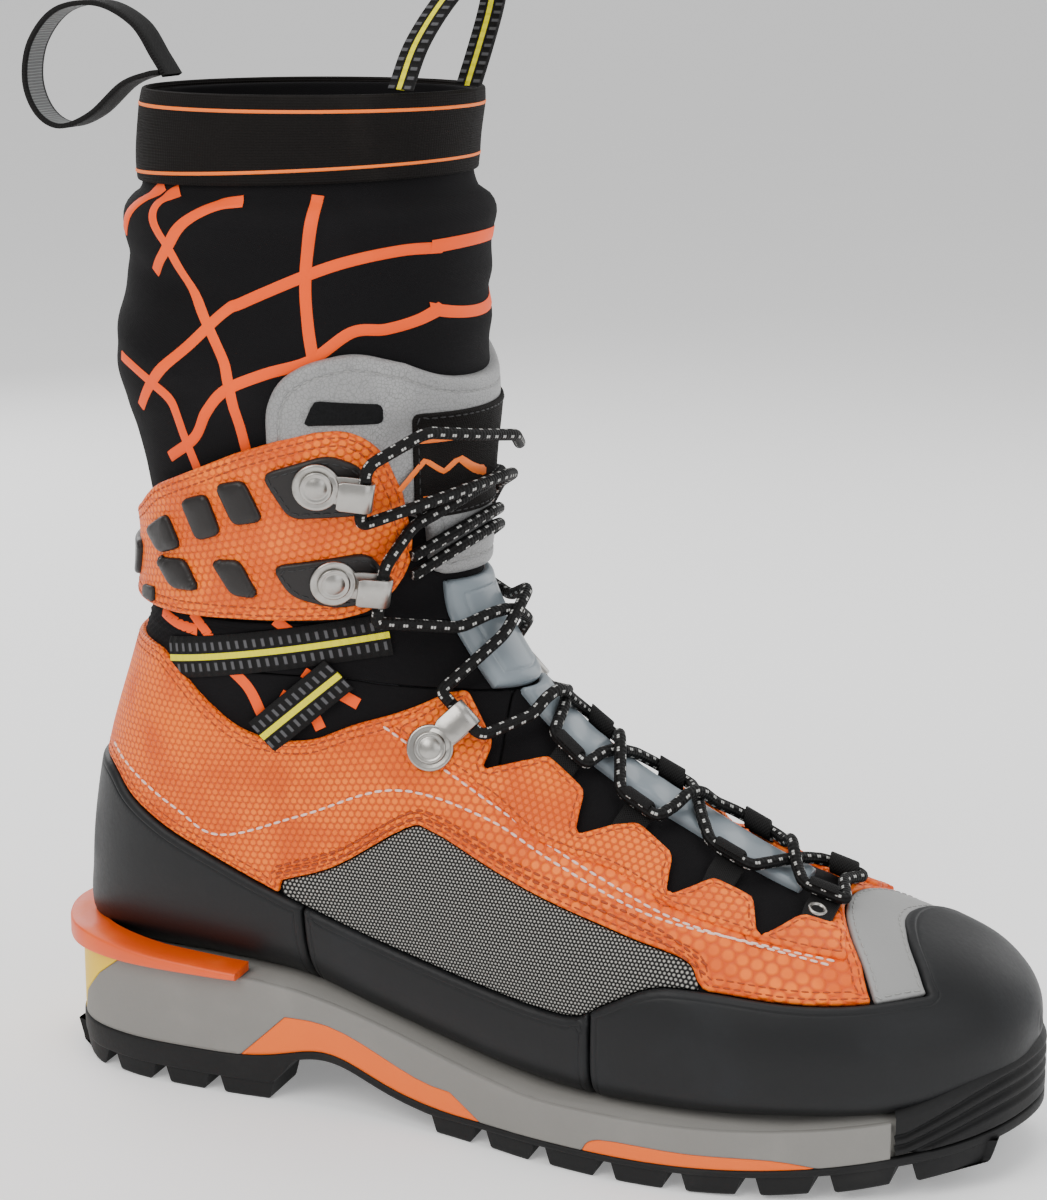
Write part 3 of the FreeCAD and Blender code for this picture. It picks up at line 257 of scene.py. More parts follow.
def makeHexGroup():
    # hexagonal cells on the surface's own map, which is in millimetres
    tree, enter, leave = makeGroup(
        "hexCells",
        [("Pitch", "NodeSocketFloat", 2.0), ("Radius", "NodeSocketFloat", 0.3),
         ("Soft", "NodeSocketFloat", 0.15)],
        [("Mask", "NodeSocketFloat"), ("Distance", "NodeSocketFloat")])
    place = vector2(tree, "DIVIDE", surfacePlace(tree), combine(tree, enter.outputs["Pitch"]))
    cell, half = (1.0, 1.7320508, 1.0), (0.5, 0.8660254, 0.0)
    top = tuple(v / 2 for v in cell)
    low = tuple(-v / 2 for v in cell)
    first = vector2(tree, "WRAP", place, top, low)
    second = vector2(tree, "WRAP", vector2(tree, "SUBTRACT", place, half), top, low)
    flat = (1.0, 1.0, 0.0)
    distance = math2(tree, "MINIMUM", vector2(tree, "LENGTH", vector2(tree, "MULTIPLY", first, flat)),
                     vector2(tree, "LENGTH", vector2(tree, "MULTIPLY", second, flat)))
    edge = math2(tree, "DIVIDE", math2(tree, "SUBTRACT", enter.outputs["Radius"], distance),
                 enter.outputs["Soft"])
    mask = math2(tree, "MULTIPLY_ADD", edge, 0.5, 0.5, clamp=True)
    feed(tree, leave, "Mask", mask)
    feed(tree, leave, "Distance", distance)


def combine(tree, value):
    node = addNode(tree, "ShaderNodeCombineXYZ")
    for k in range(3):
        feed(tree, node, k, value)
    return node.outputs[0]


def newMaterial(name, roughness=0.6, metallic=0.0, **sockets):
    material = bpy.data.materials.new(name)
    material.use_nodes = True
    shader = material.node_tree.nodes["Principled BSDF"]
    shader.inputs["Roughness"].default_value = roughness
    shader.inputs["Metallic"].default_value = metallic
    for key, value in sockets.items():
        shader.inputs[key.replace("_", " ")].default_value = value
    materials[name] = material
    return material.node_tree, shader


def feedWear(tree, shader, wear):
    feed(tree, shader, "Base Color", wear.outputs["Colour"])
    feed(tree, shader, "Roughness", wear.outputs["Roughness"])


def wornMaterial(name, colour, roughness, cloud=0.15, dust=(0.4, 0.38, 0.35), dustShare=0.1, size=30.0,
                 grain=0.25, grainDepth=0.0001, coarse=None, **sockets):
    # A plain moulded or coated finish: tone, dust, fine grain and an optional coarser relief.
    tree, shader = newMaterial(name, roughness, **sockets)
    wear = useGroup(tree, "toneWear", Colour=colour, Dust=dust, Cloud=cloud, DustShare=dustShare, Size=size,
                    Roughness=roughness)
    feedWear(tree, shader, wear)
    normal = bump(tree, wear.outputs["Grain"], grain, grainDepth)
    if coarse:
        scale, strength, depth = coarse
        normal = bump(tree, noise(tree, objectPlace(tree), scale, 4.0), strength, depth, normal)
    feed(tree, shader, "Normal", normal)
    return tree, shader, wear


def weaveHeight(tree, place, pitch, slant=0.0):
    # over and under threads on a map in millimetres
    split = addNode(tree, "ShaderNodeSeparateXYZ")
    feed(tree, split, 0, place)
    u, v = split.outputs[0], split.outputs[1]
    if slant:
        u, v = (math2(tree, "ADD", u, math2(tree, "MULTIPLY", v, slant)),
                math2(tree, "SUBTRACT", v, math2(tree, "MULTIPLY", u, slant)))
    turn = 2 * math.pi / pitch
    a = math2(tree, "SINE", math2(tree, "MULTIPLY", u, turn))
    b = math2(tree, "SINE", math2(tree, "MULTIPLY", v, turn))
    return math2(tree, "MULTIPLY", a, b)


def makeMaterials():
    makeWearGroup()
    makeHexGroup()

    tree, shader = newMaterial("paleFloor", 0.9)
    tone = noise(tree, objectPlace(tree), 3.0)
    feed(tree, shader, "Base Color", mixColour(tree, tone, (0.92, 0.92, 0.92), (0.95, 0.95, 0.95)))
    shader.inputs["Emission Color"].default_value = (1.0, 1.0, 1.0, 1.0)
    shader.inputs["Emission Strength"].default_value = 0.24

    # embossed microfibre: orange ground with raised hexagonal cells; the cells carry a painted highlight
    # and the darker ground between them is painted shade of the emboss
    tree, shader = newMaterial("orangeMicrofibre", 0.55, Specular_IOR_Level=0.3)
    wear = useGroup(tree, "toneWear", Colour=(0.70, 0.078, 0.0006), Dust=(0.86, 0.13, 0.002), Cloud=0.35,
                    DustShare=0.5, Size=28.0, Roughness=0.5)
    cells = useGroup(tree, "hexCells", Pitch=2.6, Radius=0.41, Soft=0.10)
    patch = ramp(tree, noise(tree, objectPlace(tree), 55.0, 2.0), 0.35, 0.60, 0.35, 1.0)
    # painted highlight: the raised cells are made lighter, in broad patches; the darker ground left in the
    # gaps is painted shade
    pale = math2(tree, "MULTIPLY", cells.outputs["Mask"], patch)
    feed(tree, shader, "Base Color", mixColour(tree, pale, wear.outputs["Colour"], (1.0, 0.19, 0.005)))
    feed(tree, shader, "Roughness", wear.outputs["Roughness"])
    normal = bump(tree, wear.outputs["Grain"], 0.25, 0.0001)
    feed(tree, shader, "Normal", bump(tree, cells.outputs["Mask"], 0.9, 0.0004, normal))

    wornMaterial("orangePlain", (0.93, 0.088, 0.002), 0.6, cloud=0.25, dust=(0.95, 0.16, 0.02),
                 dustShare=0.3,
                 Specular_IOR_Level=0.25)
    wornMaterial("orangeThread", (0.92, 0.17, 0.004), 0.6, cloud=0.2, dustShare=0.0)
    wornMaterial("rustThread", (0.34, 0.045, 0.003), 0.65, cloud=0.2, dustShare=0.0)
    wornMaterial("whiteThread", (0.86, 0.62, 0.52), 0.6, cloud=0.3, dust=(0.9, 0.35, 0.15), dustShare=0.35,
                 size=200.0)
    wornMaterial("greyThread", (0.30, 0.30, 0.29), 0.6, cloud=0.2, dustShare=0.0)
    wornMaterial("blackThread", (0.012, 0.012, 0.013), 0.6, cloud=0.2, dustShare=0.0)

    # white dots of resin on black cloth
    tree, shader = newMaterial("dottedMesh", 0.6, Specular_IOR_Level=0.2)
    dots = useGroup(tree, "hexCells", Pitch=1.18, Radius=0.27, Soft=0.12)
    wear = useGroup(tree, "toneWear", Colour=(0.006, 0.006, 0.0065), Dust=(0.015, 0.015, 0.015), Cloud=0.3,
                    DustShare=0.3, Size=40.0, Roughness=0.7)
    feed(tree, shader, "Base Color", mixColour(tree, dots.outputs["Mask"], wear.outputs["Colour"],
                                               (0.42, 0.41, 0.38)))
    feed(tree, shader, "Roughness", wear.outputs["Roughness"])
    feed(tree, shader, "Normal", bump(tree, dots.outputs["Mask"], 0.8, 0.0003))

    wornMaterial("randRubber", (0.0052, 0.0056, 0.0064), 0.50, cloud=0.6, dust=(0.017, 0.019, 0.022),
                 dustShare=0.5,
                 size=26.0, grain=0.2, coarse=(160.0, 0.25, 0.0004), Specular_IOR_Level=0.3)
    wornMaterial("soleRubber", (0.0055, 0.0055, 0.0058), 0.62, cloud=0.4, dust=(0.03, 0.029, 0.027),
                 dustShare=0.35,
                 size=45.0, grain=0.5, coarse=(300.0, 0.3, 0.0003), Specular_IOR_Level=0.28)
    wornMaterial("midsoleFoam", (0.205, 0.198, 0.183), 0.72, cloud=0.14, dust=(0.28, 0.27, 0.25),
                 dustShare=0.3,
                 size=40.0, grain=0.5, grainDepth=0.00015, coarse=(420.0, 0.35, 0.0002))
    wornMaterial("orangeFoam", (0.90, 0.135, 0.0), 0.5, cloud=0.12, dust=(0.90, 0.19, 0.004), dustShare=0.2,
                 grain=0.3, coarse=(420.0, 0.2, 0.0002))
    wornMaterial("yellowFoam", (0.86, 0.56, 0.0), 0.5, cloud=0.1, dust=(0.88, 0.64, 0.04), dustShare=0.2)
    wornMaterial("weltRubber", (0.78, 0.085, 0.002), 0.42, cloud=0.25, dust=(0.86, 0.18, 0.03),
                 dustShare=0.35,
                 size=60.0, Subsurface_Weight=0.12, Subsurface_Scale=0.003)
    wornMaterial("greyStrip", (0.27, 0.27, 0.265), 0.55, cloud=0.2, dust=(0.45, 0.45, 0.44), dustShare=0.3,
                 grain=0.4, coarse=(500.0, 0.35, 0.0002))
    wornMaterial("greyPlastic", (0.185, 0.22, 0.245), 0.34, cloud=0.12, dust=(0.35, 0.38, 0.4),
                 dustShare=0.3,
                 grain=0.15, Coat_Weight=0.15)
    wornMaterial("blackPlastic", (0.0105, 0.0082, 0.0078), 0.42, cloud=0.3, dust=(0.03, 0.026, 0.024),
                 dustShare=0.35,
                 grain=0.3, Specular_IOR_Level=0.35)
    wornMaterial("innerFoam", (0.05, 0.05, 0.055), 0.9, cloud=0.2)
    wornMaterial("paleBoard", (0.55, 0.48, 0.36), 0.85, cloud=0.2)
    wornMaterial("stiffSheet", (0.6, 0.56, 0.48), 0.6, cloud=0.2)

    # knitted stretch cloth
    tree, shader = newMaterial("stretchCloth", 0.85, Specular_IOR_Level=0.12)
    wear = useGroup(tree, "toneWear", Colour=(0.0052, 0.0048, 0.0054), Dust=(0.013, 0.012, 0.013),
                    Cloud=0.5,
                    DustShare=0.5, Size=25.0, Roughness=0.84)
    feedWear(tree, shader, wear)
    knit = weaveHeight(tree, surfacePlace(tree), 0.9, 0.5)
    normal = bump(tree, noise(tree, objectPlace(tree), 90.0, 3.0), 0.12, 0.0008)
    feed(tree, shader, "Normal", bump(tree, knit, 0.35, 0.00012, normal))

    # woven elastic: fine cross ribs
    tree, shader = newMaterial("elasticCloth", 0.8, Specular_IOR_Level=0.12)
    split = addNode(tree, "ShaderNodeSeparateXYZ")
    feed(tree, split, 0, surfacePlace(tree))
    rib = math2(tree, "SINE", math2(tree, "MULTIPLY", split.outputs[1], 2 * math.pi / 0.75))
    cross = math2(tree, "SINE", math2(tree, "MULTIPLY", split.outputs[0], 2 * math.pi / 0.9))
    woven = math2(tree, "MULTIPLY_ADD", cross, 0.4, rib)
    wear = useGroup(tree, "toneWear", Colour=(0.0068, 0.0056, 0.0052), Dust=(0.017, 0.015, 0.014),
                    Cloud=0.4,
                    DustShare=0.45, Size=60.0, Roughness=0.78)
    feedWear(tree, shader, wear)
    feed(tree, shader, "Normal", bump(tree, woven, 0.5, 0.0002))

    # webbing: u along, v across, both in millimetres from the middle line
    for name, centre in (("ribbedWebbing", (0.83, 0.76, 0.01)), ("greyWebbing", None)):
        tree, shader = newMaterial(name, 0.75, Specular_IOR_Level=0.2)
        split = addNode(tree, "ShaderNodeSeparateXYZ")
        feed(tree, split, 0, surfacePlace(tree))
        u, v = split.outputs[0], math2(tree, "ABSOLUTE", split.outputs[1])
        pitch = 2.7 if centre else 0.95
        wave = math2(tree, "SINE", math2(tree, "MULTIPLY", u, 2 * math.pi / pitch))
        bar = ramp(tree, wave, 0.25, 0.65)
        inside = ramp(tree, v, 4.15, 4.5, 1.0, 0.0)
        if centre:
            inside = math2(tree, "MULTIPLY", inside, ramp(tree, v, 1.7, 2.1))
        pale = (0.085, 0.085, 0.09) if centre else (0.24, 0.245, 0.245)
        ground = (0.0055, 0.0052, 0.0052) if centre else (0.15, 0.155, 0.155)
        bars = mixColour(tree, bar, ground, pale)
        colour = mixColour(tree, inside, (0.0055, 0.0052, 0.0052), bars)
        if centre:
            line = math2(tree, "MULTIPLY", ramp(tree, v, 0.85, 1.05, 1.0, 0.0), 1.0)
            colour = mixColour(tree, line, colour, centre)
        feed(tree, shader, "Base Color", colour)
        fine = weaveHeight(tree, surfacePlace(tree), 0.8)
        normal = bump(tree, fine, 0.4, 0.00012)
        feed(tree, shader, "Normal", bump(tree, wave, 0.55, 0.0003, normal))
    tree, shader, wear = wornMaterial("blackWebbing", (0.0065, 0.0062, 0.0062), 0.75, cloud=0.3,
                                      dustShare=0.25,
                                      dust=(0.02, 0.02, 0.02), Specular_IOR_Level=0.2)
    feed(tree, shader, "Normal", bump(tree, weaveHeight(tree, surfacePlace(tree), 0.95), 0.55, 0.0002))

    # grained leather with a silver coat
    tree, shader = newMaterial("silverLeather", 0.48, Coat_Weight=0.1)
    grain = addNode(tree, "ShaderNodeTexVoronoi", feature="DISTANCE_TO_EDGE")
    feed(tree, grain, "Vector", objectPlace(tree))
    grain.inputs["Scale"].default_value = 900.0
    wear = useGroup(tree, "toneWear", Colour=(0.27, 0.27, 0.268), Dust=(0.40, 0.40, 0.395), Cloud=0.35,
                    DustShare=0.4,
                    Size=45.0, Roughness=0.46)
    crease = ramp(tree, grain.outputs["Distance"], 0.0, 0.12)
    feed(tree, shader, "Base Color", mixColour(tree, crease, (0.19, 0.19, 0.19), wear.outputs["Colour"]))
    feed(tree, shader, "Roughness", wear.outputs["Roughness"])
    feed(tree, shader, "Normal", bump(tree, crease, 0.45, 0.0002))

    # hook and loop pile
    tree, shader = newMaterial("pileCloth", 0.95, Specular_IOR_Level=0.1)
    pile = noise(tree, objectPlace(tree), 1400.0, 6.0, 0.7)
    feed(tree, shader, "Base Color", mixColour(tree, pile, (0.003, 0.003, 0.003), (0.016, 0.016, 0.017)))
    feed(tree, shader, "Normal", bump(tree, pile, 0.9, 0.0006))

    # brushed and tumbled steel
    tree, shader = newMaterial("hookSteel", 0.3, metallic=1.0)
    wear = useGroup(tree, "toneWear", Colour=(0.40, 0.385, 0.36), Dust=(0.24, 0.225, 0.20), Cloud=0.3,
                    DustShare=0.5, Size=180.0, Roughness=0.30)
    feedWear(tree, shader, wear)
    feed(tree, shader, "Normal", bump(tree, noise(tree, objectPlace(tree), 700.0, 4.0), 0.12, 0.0003))

    # braided lace: u along in millimetres, v once round
    tree, shader = newMaterial("braidedLace", 0.7, Specular_IOR_Level=0.2)
    split = addNode(tree, "ShaderNodeSeparateXYZ")
    feed(tree, split, 0, surfacePlace(tree))
    u, v = split.outputs[0], split.outputs[1]
    strands = 8.0
    left = math2(tree, "MULTIPLY_ADD", v, strands, math2(tree, "DIVIDE", u, 1.35))
    right = math2(tree, "MULTIPLY_ADD", v, -strands, math2(tree, "DIVIDE", u, 1.35))
    weave = math2(tree, "MULTIPLY", math2(tree, "SINE", math2(tree, "MULTIPLY", left, math.pi)),
                  math2(tree, "SINE", math2(tree, "MULTIPLY", right, math.pi)))
    fleckRow = math2(tree, "FRACT", math2(tree, "MULTIPLY", v, 4.0))
    shift = math2(tree, "MULTIPLY", math2(tree, "FLOOR", math2(tree, "MULTIPLY", v, 4.0)), 0.5)
    fleckRun = math2(tree, "FRACT", math2(tree, "ADD", math2(tree, "DIVIDE", u, 4.3), shift))
    run = math2(tree, "MULTIPLY", ramp(tree, fleckRun, 0.20, 0.26),
                ramp(tree, fleckRun, 0.54, 0.60, 1.0, 0.0))
    gapLine = ramp(tree, math2(tree, "ABSOLUTE", math2(tree, "SUBTRACT", fleckRun, 0.40)), 0.015, 0.035)
    row = math2(tree, "MULTIPLY", ramp(tree, fleckRow, 0.32, 0.38),
                ramp(tree, fleckRow, 0.62, 0.68, 1.0, 0.0))
    fleck = math2(tree, "MULTIPLY", math2(tree, "MULTIPLY", run, row), gapLine)
    feed(tree, shader, "Base Color", mixColour(tree, fleck, (0.0050, 0.0048, 0.0048), (0.50, 0.50, 0.48)))
    feed(tree, shader, "Normal", bump(tree, weave, 0.8, 0.0003))
    print("materials", len(materials))


lastStations = np.array((
    # top x, z, back x, z, centre y, half width, share of the widest place, four exponents, forward share
    (301.5, 43.0, 301.5, 38.0, 6.0, 2.0, 0.40, 2.0, 2.0, 2.5, 2.0, 1.00),
    (299.5, 48.5, 299.5, 31.5, 6.0, 13.0, 0.40, 2.1, 2.1, 3.0, 2.2, 0.80),
    (295.0, 54.5, 295.0, 28.8, 5.5, 22.0, 0.38, 2.1, 2.1, 3.5, 2.3, 0.50),
    (287.0, 60.5, 287.0, 26.2, 4.5, 30.5, 0.37, 2.2, 2.1, 4.0, 2.4, 0.28),
    (276.0, 65.0, 276.0, 24.2, 3.0, 38.0, 0.35, 2.2, 2.1, 5.0, 2.4, 0.15),
    (262.0, 69.0, 262.0, 23.2, 1.3, 44.5, 0.33, 2.2, 2.1, 5.0, 2.4, 0.07),
    (244.0, 74.0, 244.0, 22.3, 0.0, 48.5, 0.30, 2.2, 2.1, 5.0, 2.4, 0.0),
    (224.0, 81.5, 224.0, 21.0, -0.8, 50.3, 0.27, 2.1, 2.0, 5.0, 2.4, 0.0),
    (204.0, 91.5, 204.0, 20.0, -1.0, 49.8, 0.25, 2.1, 2.0, 5.0, 2.4, 0.0),
    (187.0, 100.5, 184.0, 19.2, -1.2, 47.2, 0.26, 2.0, 1.9, 5.0, 2.4, 0.0),
    (172.0, 110.0, 162.0, 20.5, -1.4, 43.2, 0.28, 2.0, 1.9, 5.0, 2.4, 0.0),
    (160.0, 120.0, 138.0, 24.5, -1.2, 39.2, 0.31, 2.0, 1.9, 5.0, 2.4, 0.0),
    (151.0, 130.0, 112.0, 30.2, -0.6, 36.6, 0.36, 2.0, 1.9, 5.0, 2.4, 0.0),
    (144.5, 139.0, 84.0, 36.5, -0.2, 35.8, 0.42, 2.0, 1.95, 4.0, 2.4, 0.0),
    (140.0, 146.5, 52.0, 38.5, 0.0, 36.2, 0.46, 2.0, 2.0, 3.4, 2.3, 0.0),
    (137.0, 152.5, 24.0, 38.5, 0.0, 36.8, 0.48, 2.0, 2.0, 2.6, 2.1, 0.0),
    (135.0, 157.5, 8.5, 43.0, 0.0, 37.2, 0.48, 2.0, 2.0, 2.2, 2.0, 0.0),
    (133.5, 163.0, 8.2, 60.0, 0.0, 38.0, 0.48, 2.0, 2.0, 2.2, 2.0, 0.0),
    (132.5, 170.0, 10.5, 80.0, 0.0, 39.2, 0.49, 2.0, 2.0, 2.2, 2.0, 0.0),
    (131.5, 177.0, 15.5, 103.0, 0.0, 40.6, 0.50, 2.0, 2.0, 2.2, 2.0, 0.0),
    (131.0, 184.0, 24.5, 130.0, 0.0, 42.2, 0.50, 2.0, 2.0, 2.1, 2.0, 0.0),
    (131.0, 191.0, 31.0, 150.0, 0.0, 43.6, 0.50, 2.1, 2.0, 2.1, 2.0, 0.0),
    (131.5, 199.0, 33.0, 170.0, 0.0, 44.8, 0.50, 2.1, 2.0, 2.1, 2.0, 0.0),
    (132.5, 208.0, 30.5, 190.0, 0.0, 46.4, 0.50, 2.1, 2.0, 2.1, 2.0, 0.0),
    (133.5, 220.0, 26.0, 210.0, 0.0, 48.0, 0.50, 2.1, 2.0, 2.1, 2.0, 0.0),
    (134.0, 240.0, 24.0, 235.0, 0.0, 49.0, 0.50, 2.1, 2.0, 2.1, 2.0, 0.0),
    (134.5, 258.0, 25.5, 256.0, 0.0, 49.0, 0.50, 2.1, 2.0, 2.1, 2.0, 0.0),
    (133.0, 269.0, 28.5, 267.0, 0.0, 48.0, 0.50, 2.1, 2.0, 2.1, 2.0, 0.0),
    (129.5, 278.0, 31.5, 275.0, 0.0, 46.3, 0.50, 2.0, 2.0, 2.0, 2.0, 0.0),
    (129.5, 288.0, 32.0, 286.0, 0.0, 46.0, 0.50, 2.0, 2.0, 2.0, 2.0, 0.0),
    (131.0, 299.0, 33.5, 299.0, 0.0, 46.0, 0.50, 2.0, 2.0, 2.0, 2.0, 0.0),
    (132.0, 310.0, 35.0, 310.0, 0.0, 46.0, 0.50, 2.0, 2.0, 2.0, 2.0, 0.0),
))


def stationsAt(u):
    last = len(lastStations) - 1
    i = np.clip(np.floor(u).astype(int), 0, last - 1)
    f = (u - i)[..., None]
    a, b, c, d = (lastStations[np.clip(i + k, 0, last)] for k in (-1, 0, 1, 2))
    return 0.5 * (2 * b + (c - a) * f + (2 * a - 5 * b + 4 * c - d) * f ** 2
                  + (3 * b - a - 3 * c + d) * f ** 3)


def lastPoint(u, angle, offset=0.0):
    # A point of the last grown by offset. Angle 0 is the top line, and positive is the inner side.
    u, angle = np.broadcast_arrays(np.asarray(u, float), np.asarray(angle, float))
    tx, tz, bx, bz, centre, half, share, nt, mt, nb, mb, forward = np.moveaxis(stationsAt(u), -1, 0)
    ax, az = tx - bx, tz - bz
    length = np.hypot(ax, az)
    ax, az = ax / length, az / length
    cosine, sine = np.cos(angle), np.sin(angle)
    top = cosine >= 0
    c, s = np.abs(cosine), np.abs(sine)
    along = np.where(top, share + (1 - share) * c ** (2 / nt), share - share * c ** (2 / nb))
    across = np.where(top, s ** (2 / mt), s ** (2 / mb))
    reach = along * (length + 2 * offset) - offset
    y = centre + np.sign(sine) * across * (half + offset)
    return np.stack([bx + offset * forward + reach * ax, y, bz + reach * az], -1)


class Skin:
    # A dense grid over the last: places, outward directions, and the side view's x and z.
    def __init__(self, spacing, columns):
        fine = np.linspace(0, len(lastStations) - 1, 1600)
        lines = [lastPoint(fine, a) for a in (0.0, 0.8, math.pi / 2, 2.3, math.pi)]
        step = np.max([np.linalg.norm(np.diff(line, axis=0), axis=1) for line in lines], axis=0)
        run = np.concatenate([[0], np.cumsum(step)])
        rows = np.interp(np.linspace(0, run[-1], int(run[-1] / spacing)), run, fine)
        angles = np.stack([self.evenAngles(u, columns) for u in rows])
        self.u = np.repeat(rows[:, None], angles.shape[1], 1)
        self.angle = angles
        self.place = lastPoint(self.u, angles)
        down = np.gradient(self.place, axis=0)
        round_ = self.place[:, (np.arange(angles.shape[1]) + 1) % angles.shape[1]] - np.roll(self.place, 1,
                                                                                             axis=1)
        self.down, self.round = down, round_ / 2
        normal = np.cross(round_, down)
        normal /= np.maximum(np.linalg.norm(normal, axis=-1, keepdims=True), 1e-9)
        middle = self.place.mean(axis=1, keepdims=True)
        flip = np.sign(np.sum(normal * (self.place - middle), axis=(1, 2)))[:, None, None]
        self.normal = normal * np.median(flip)
        shown = self.place + 2.0 * self.normal
        self.x, self.z, self.y = shown[..., 0], shown[..., 2], self.place[..., 1]
        a2 = np.sum(self.down ** 2, -1)
        b2 = np.sum(self.round ** 2, -1)
        ab = np.sum(self.down * self.round, -1)
        self.metric = a2, b2, ab, np.maximum(a2 * b2 - ab ** 2, 1e-12)

    def evenAngles(self, u, columns):
        # angles that space the points evenly round a section, with one at the top and each side
        quarters = []
        for start, end in ((0.0, math.pi / 2), (math.pi / 2, math.pi)):
            t = start + (end - start) * np.linspace(0, 1, 500) ** (1.0 if start == 0 else 2.0)
            p = lastPoint(np.full(t.shape, u), t)
            run = np.concatenate([[0], np.cumsum(np.linalg.norm(np.diff(p, axis=0), axis=1))])
            quarters.append(np.interp(np.linspace(0, run[-1], columns // 4 + 1), run, t))
        half = np.concatenate([quarters[0][:-1], quarters[1]])
        return np.concatenate([half[:-1], -half[::-1][:-1]])

    def evenField(self, field):
        # A field scaled so that it counts millimetres along the surface near zero.
        fa = np.gradient(field, axis=0)
        fb = (np.roll(field, -1, axis=1) - np.roll(field, 1, axis=1)) / 2
        a2, b2, ab, det = self.metric
        slope = np.sqrt(np.maximum((fa ** 2 * b2 - 2 * fa * fb * ab + fb ** 2 * a2) / det, 1e-6))
        return field / np.clip(slope, 0.35, 3.0)

    def polygon(self, points, box=14.0):
        # distance inside a closed side-view outline; negative outside
        points = np.asarray(points, float)
        low, high = points.min(0) - box, points.max(0) + box
        near = (self.x > low[0]) & (self.x < high[0]) & (self.z > low[1]) & (self.z < high[1])
        field = np.full(self.x.shape, -box)
        field[near] = insideDistance(self.x[near], self.z[near], points)
        return self.evenField(field)


def insideDistance(x, z, points):
    best = np.full(x.shape, 1e9)
    inside = np.zeros(x.shape, bool)
    for (ax, az), (bx, bz) in zip(points, np.roll(points, -1, axis=0)):
        dx, dz = bx - ax, bz - az
        length = dx * dx + dz * dz
        if length < 1e-9:
            continue
        t = np.clip(((x - ax) * dx + (z - az) * dz) / length, 0, 1)
        best = np.minimum(best, (x - ax - t * dx) ** 2 + (z - az - t * dz) ** 2)
        if abs(dz) > 1e-9:
            inside ^= ((az > z) != (bz > z)) & (x < dx * (z - az) / dz + ax)
    return np.where(inside, 1, -1) * np.sqrt(best)


def smoothLine(points, steps=5):
    # A curve through the points.
    p = np.asarray(points, float)
    p = np.vstack([2 * p[0] - p[1], p, 2 * p[-1] - p[-2]])
    t = np.linspace(0, 1, steps, endpoint=False)[:, None]
    made = []
    for a, b, c, d in zip(p, p[1:], p[2:], p[3:]):
        made.append(0.5 * (2 * b + (c - a) * t + (2 * a - 5 * b + 4 * c - d) * t ** 2
                           + (3 * b - a - 3 * c + d) * t ** 3))
    return [tuple(q) for q in np.vstack(made + [p[-2:-1]])]


def roundCorners(points, radius, closed=True):
    # each corner of an outline becomes a short bend
    made = []
    count = len(points)
    for k in range(count):
        a, b, c = (np.asarray(points[(k + s) % count], float) for s in (-1, 0, 1))
        if not closed and k in (0, count - 1):
            made.append(tuple(b))
            continue
        la, lc = np.linalg.norm(a - b), np.linalg.norm(c - b)
        turn = np.dot(a - b, c - b) / max(la * lc, 1e-9)
        if turn < -0.97:
            made.append(tuple(b))
            continue
        reach = min(radius, la * 0.45, lc * 0.45)
        start, end = b + (a - b) / la * reach, b + (c - b) / lc * reach
        for t in np.linspace(0, 1, 5):
            made.append(tuple((1 - t) ** 2 * start + 2 * t * (1 - t) * b + t ** 2 * end))
    return made


def cutBetween(line, x0, x1):
    # the part of a curve of growing x between two x values
    line = np.asarray(line, float)
    middle = [tuple(p) for p in line if x0 < p[0] < x1]
    ends = [(x, float(np.interp(x, line[:, 0], line[:, 1]))) for x in (x0, x1)]
    return [ends[0], *middle, ends[1]]


def moved(points, dx=0.0, dz=0.0):
    return [(x + dx, z + dz) for x, z in points]


def splitAt(triangles, data, column, level):
    # splits the triangles along one level of a column, so that the level becomes edges.
    value = data[:, column] - level
    high = value > 1e-6
    low = value < -1e-6
    hasHigh, hasLow = high[triangles].any(1), low[triangles].any(1)
    mixed = hasHigh & hasLow
    kept, crossed = triangles[~mixed], triangles[mixed]
    if not len(crossed):
        return triangles, data
    sign = np.where(high, 1, np.where(low, -1, 0))
    s = sign[crossed]
    parts = []
    zero = (s == 0).sum(1)
    simple = crossed[zero == 1]           # one corner lies on the level
    order = np.argmax(sign[simple] == 0, axis=1)
    simple = np.stack([simple[np.arange(len(simple)), (order + k) % 3] for k in range(3)], 1)
    rest = crossed[zero == 0]
    s = sign[rest]
    odd = np.argmax(s * s.sum(1, keepdims=True) < 0, axis=1)
    rest = np.stack([rest[np.arange(len(rest)), (odd + k) % 3] for k in range(3)], 1)
    pairs = np.vstack([simple[:, 1:3], rest[:, [0, 1]], rest[:, [0, 2]]])
    keys = np.sort(pairs, axis=1)
    unique, index = np.unique(keys, axis=0, return_inverse=True)
    index = index.reshape(-1)
    a, b = unique[:, 0], unique[:, 1]
    t = (value[a] / (value[a] - value[b]))[:, None]
    fresh = data[a] * (1 - t) + data[b] * t
    fresh[:, column] = level
    number = len(data) + index
    n1, n2 = len(simple), len(rest)
    m = number[:n1]
    p, q = number[n1:n1 + n2], number[n1 + n2:]
    a, b, c = simple.T
    parts += [np.stack([a, b, m], 1), np.stack([a, m, c], 1)]
    a, b, c = rest.T
    parts += [np.stack([a, p, q], 1), np.stack([p, b, c], 1), np.stack([p, c, q], 1)]
    return np.vstack([kept] + parts), np.vstack([data, fresh])


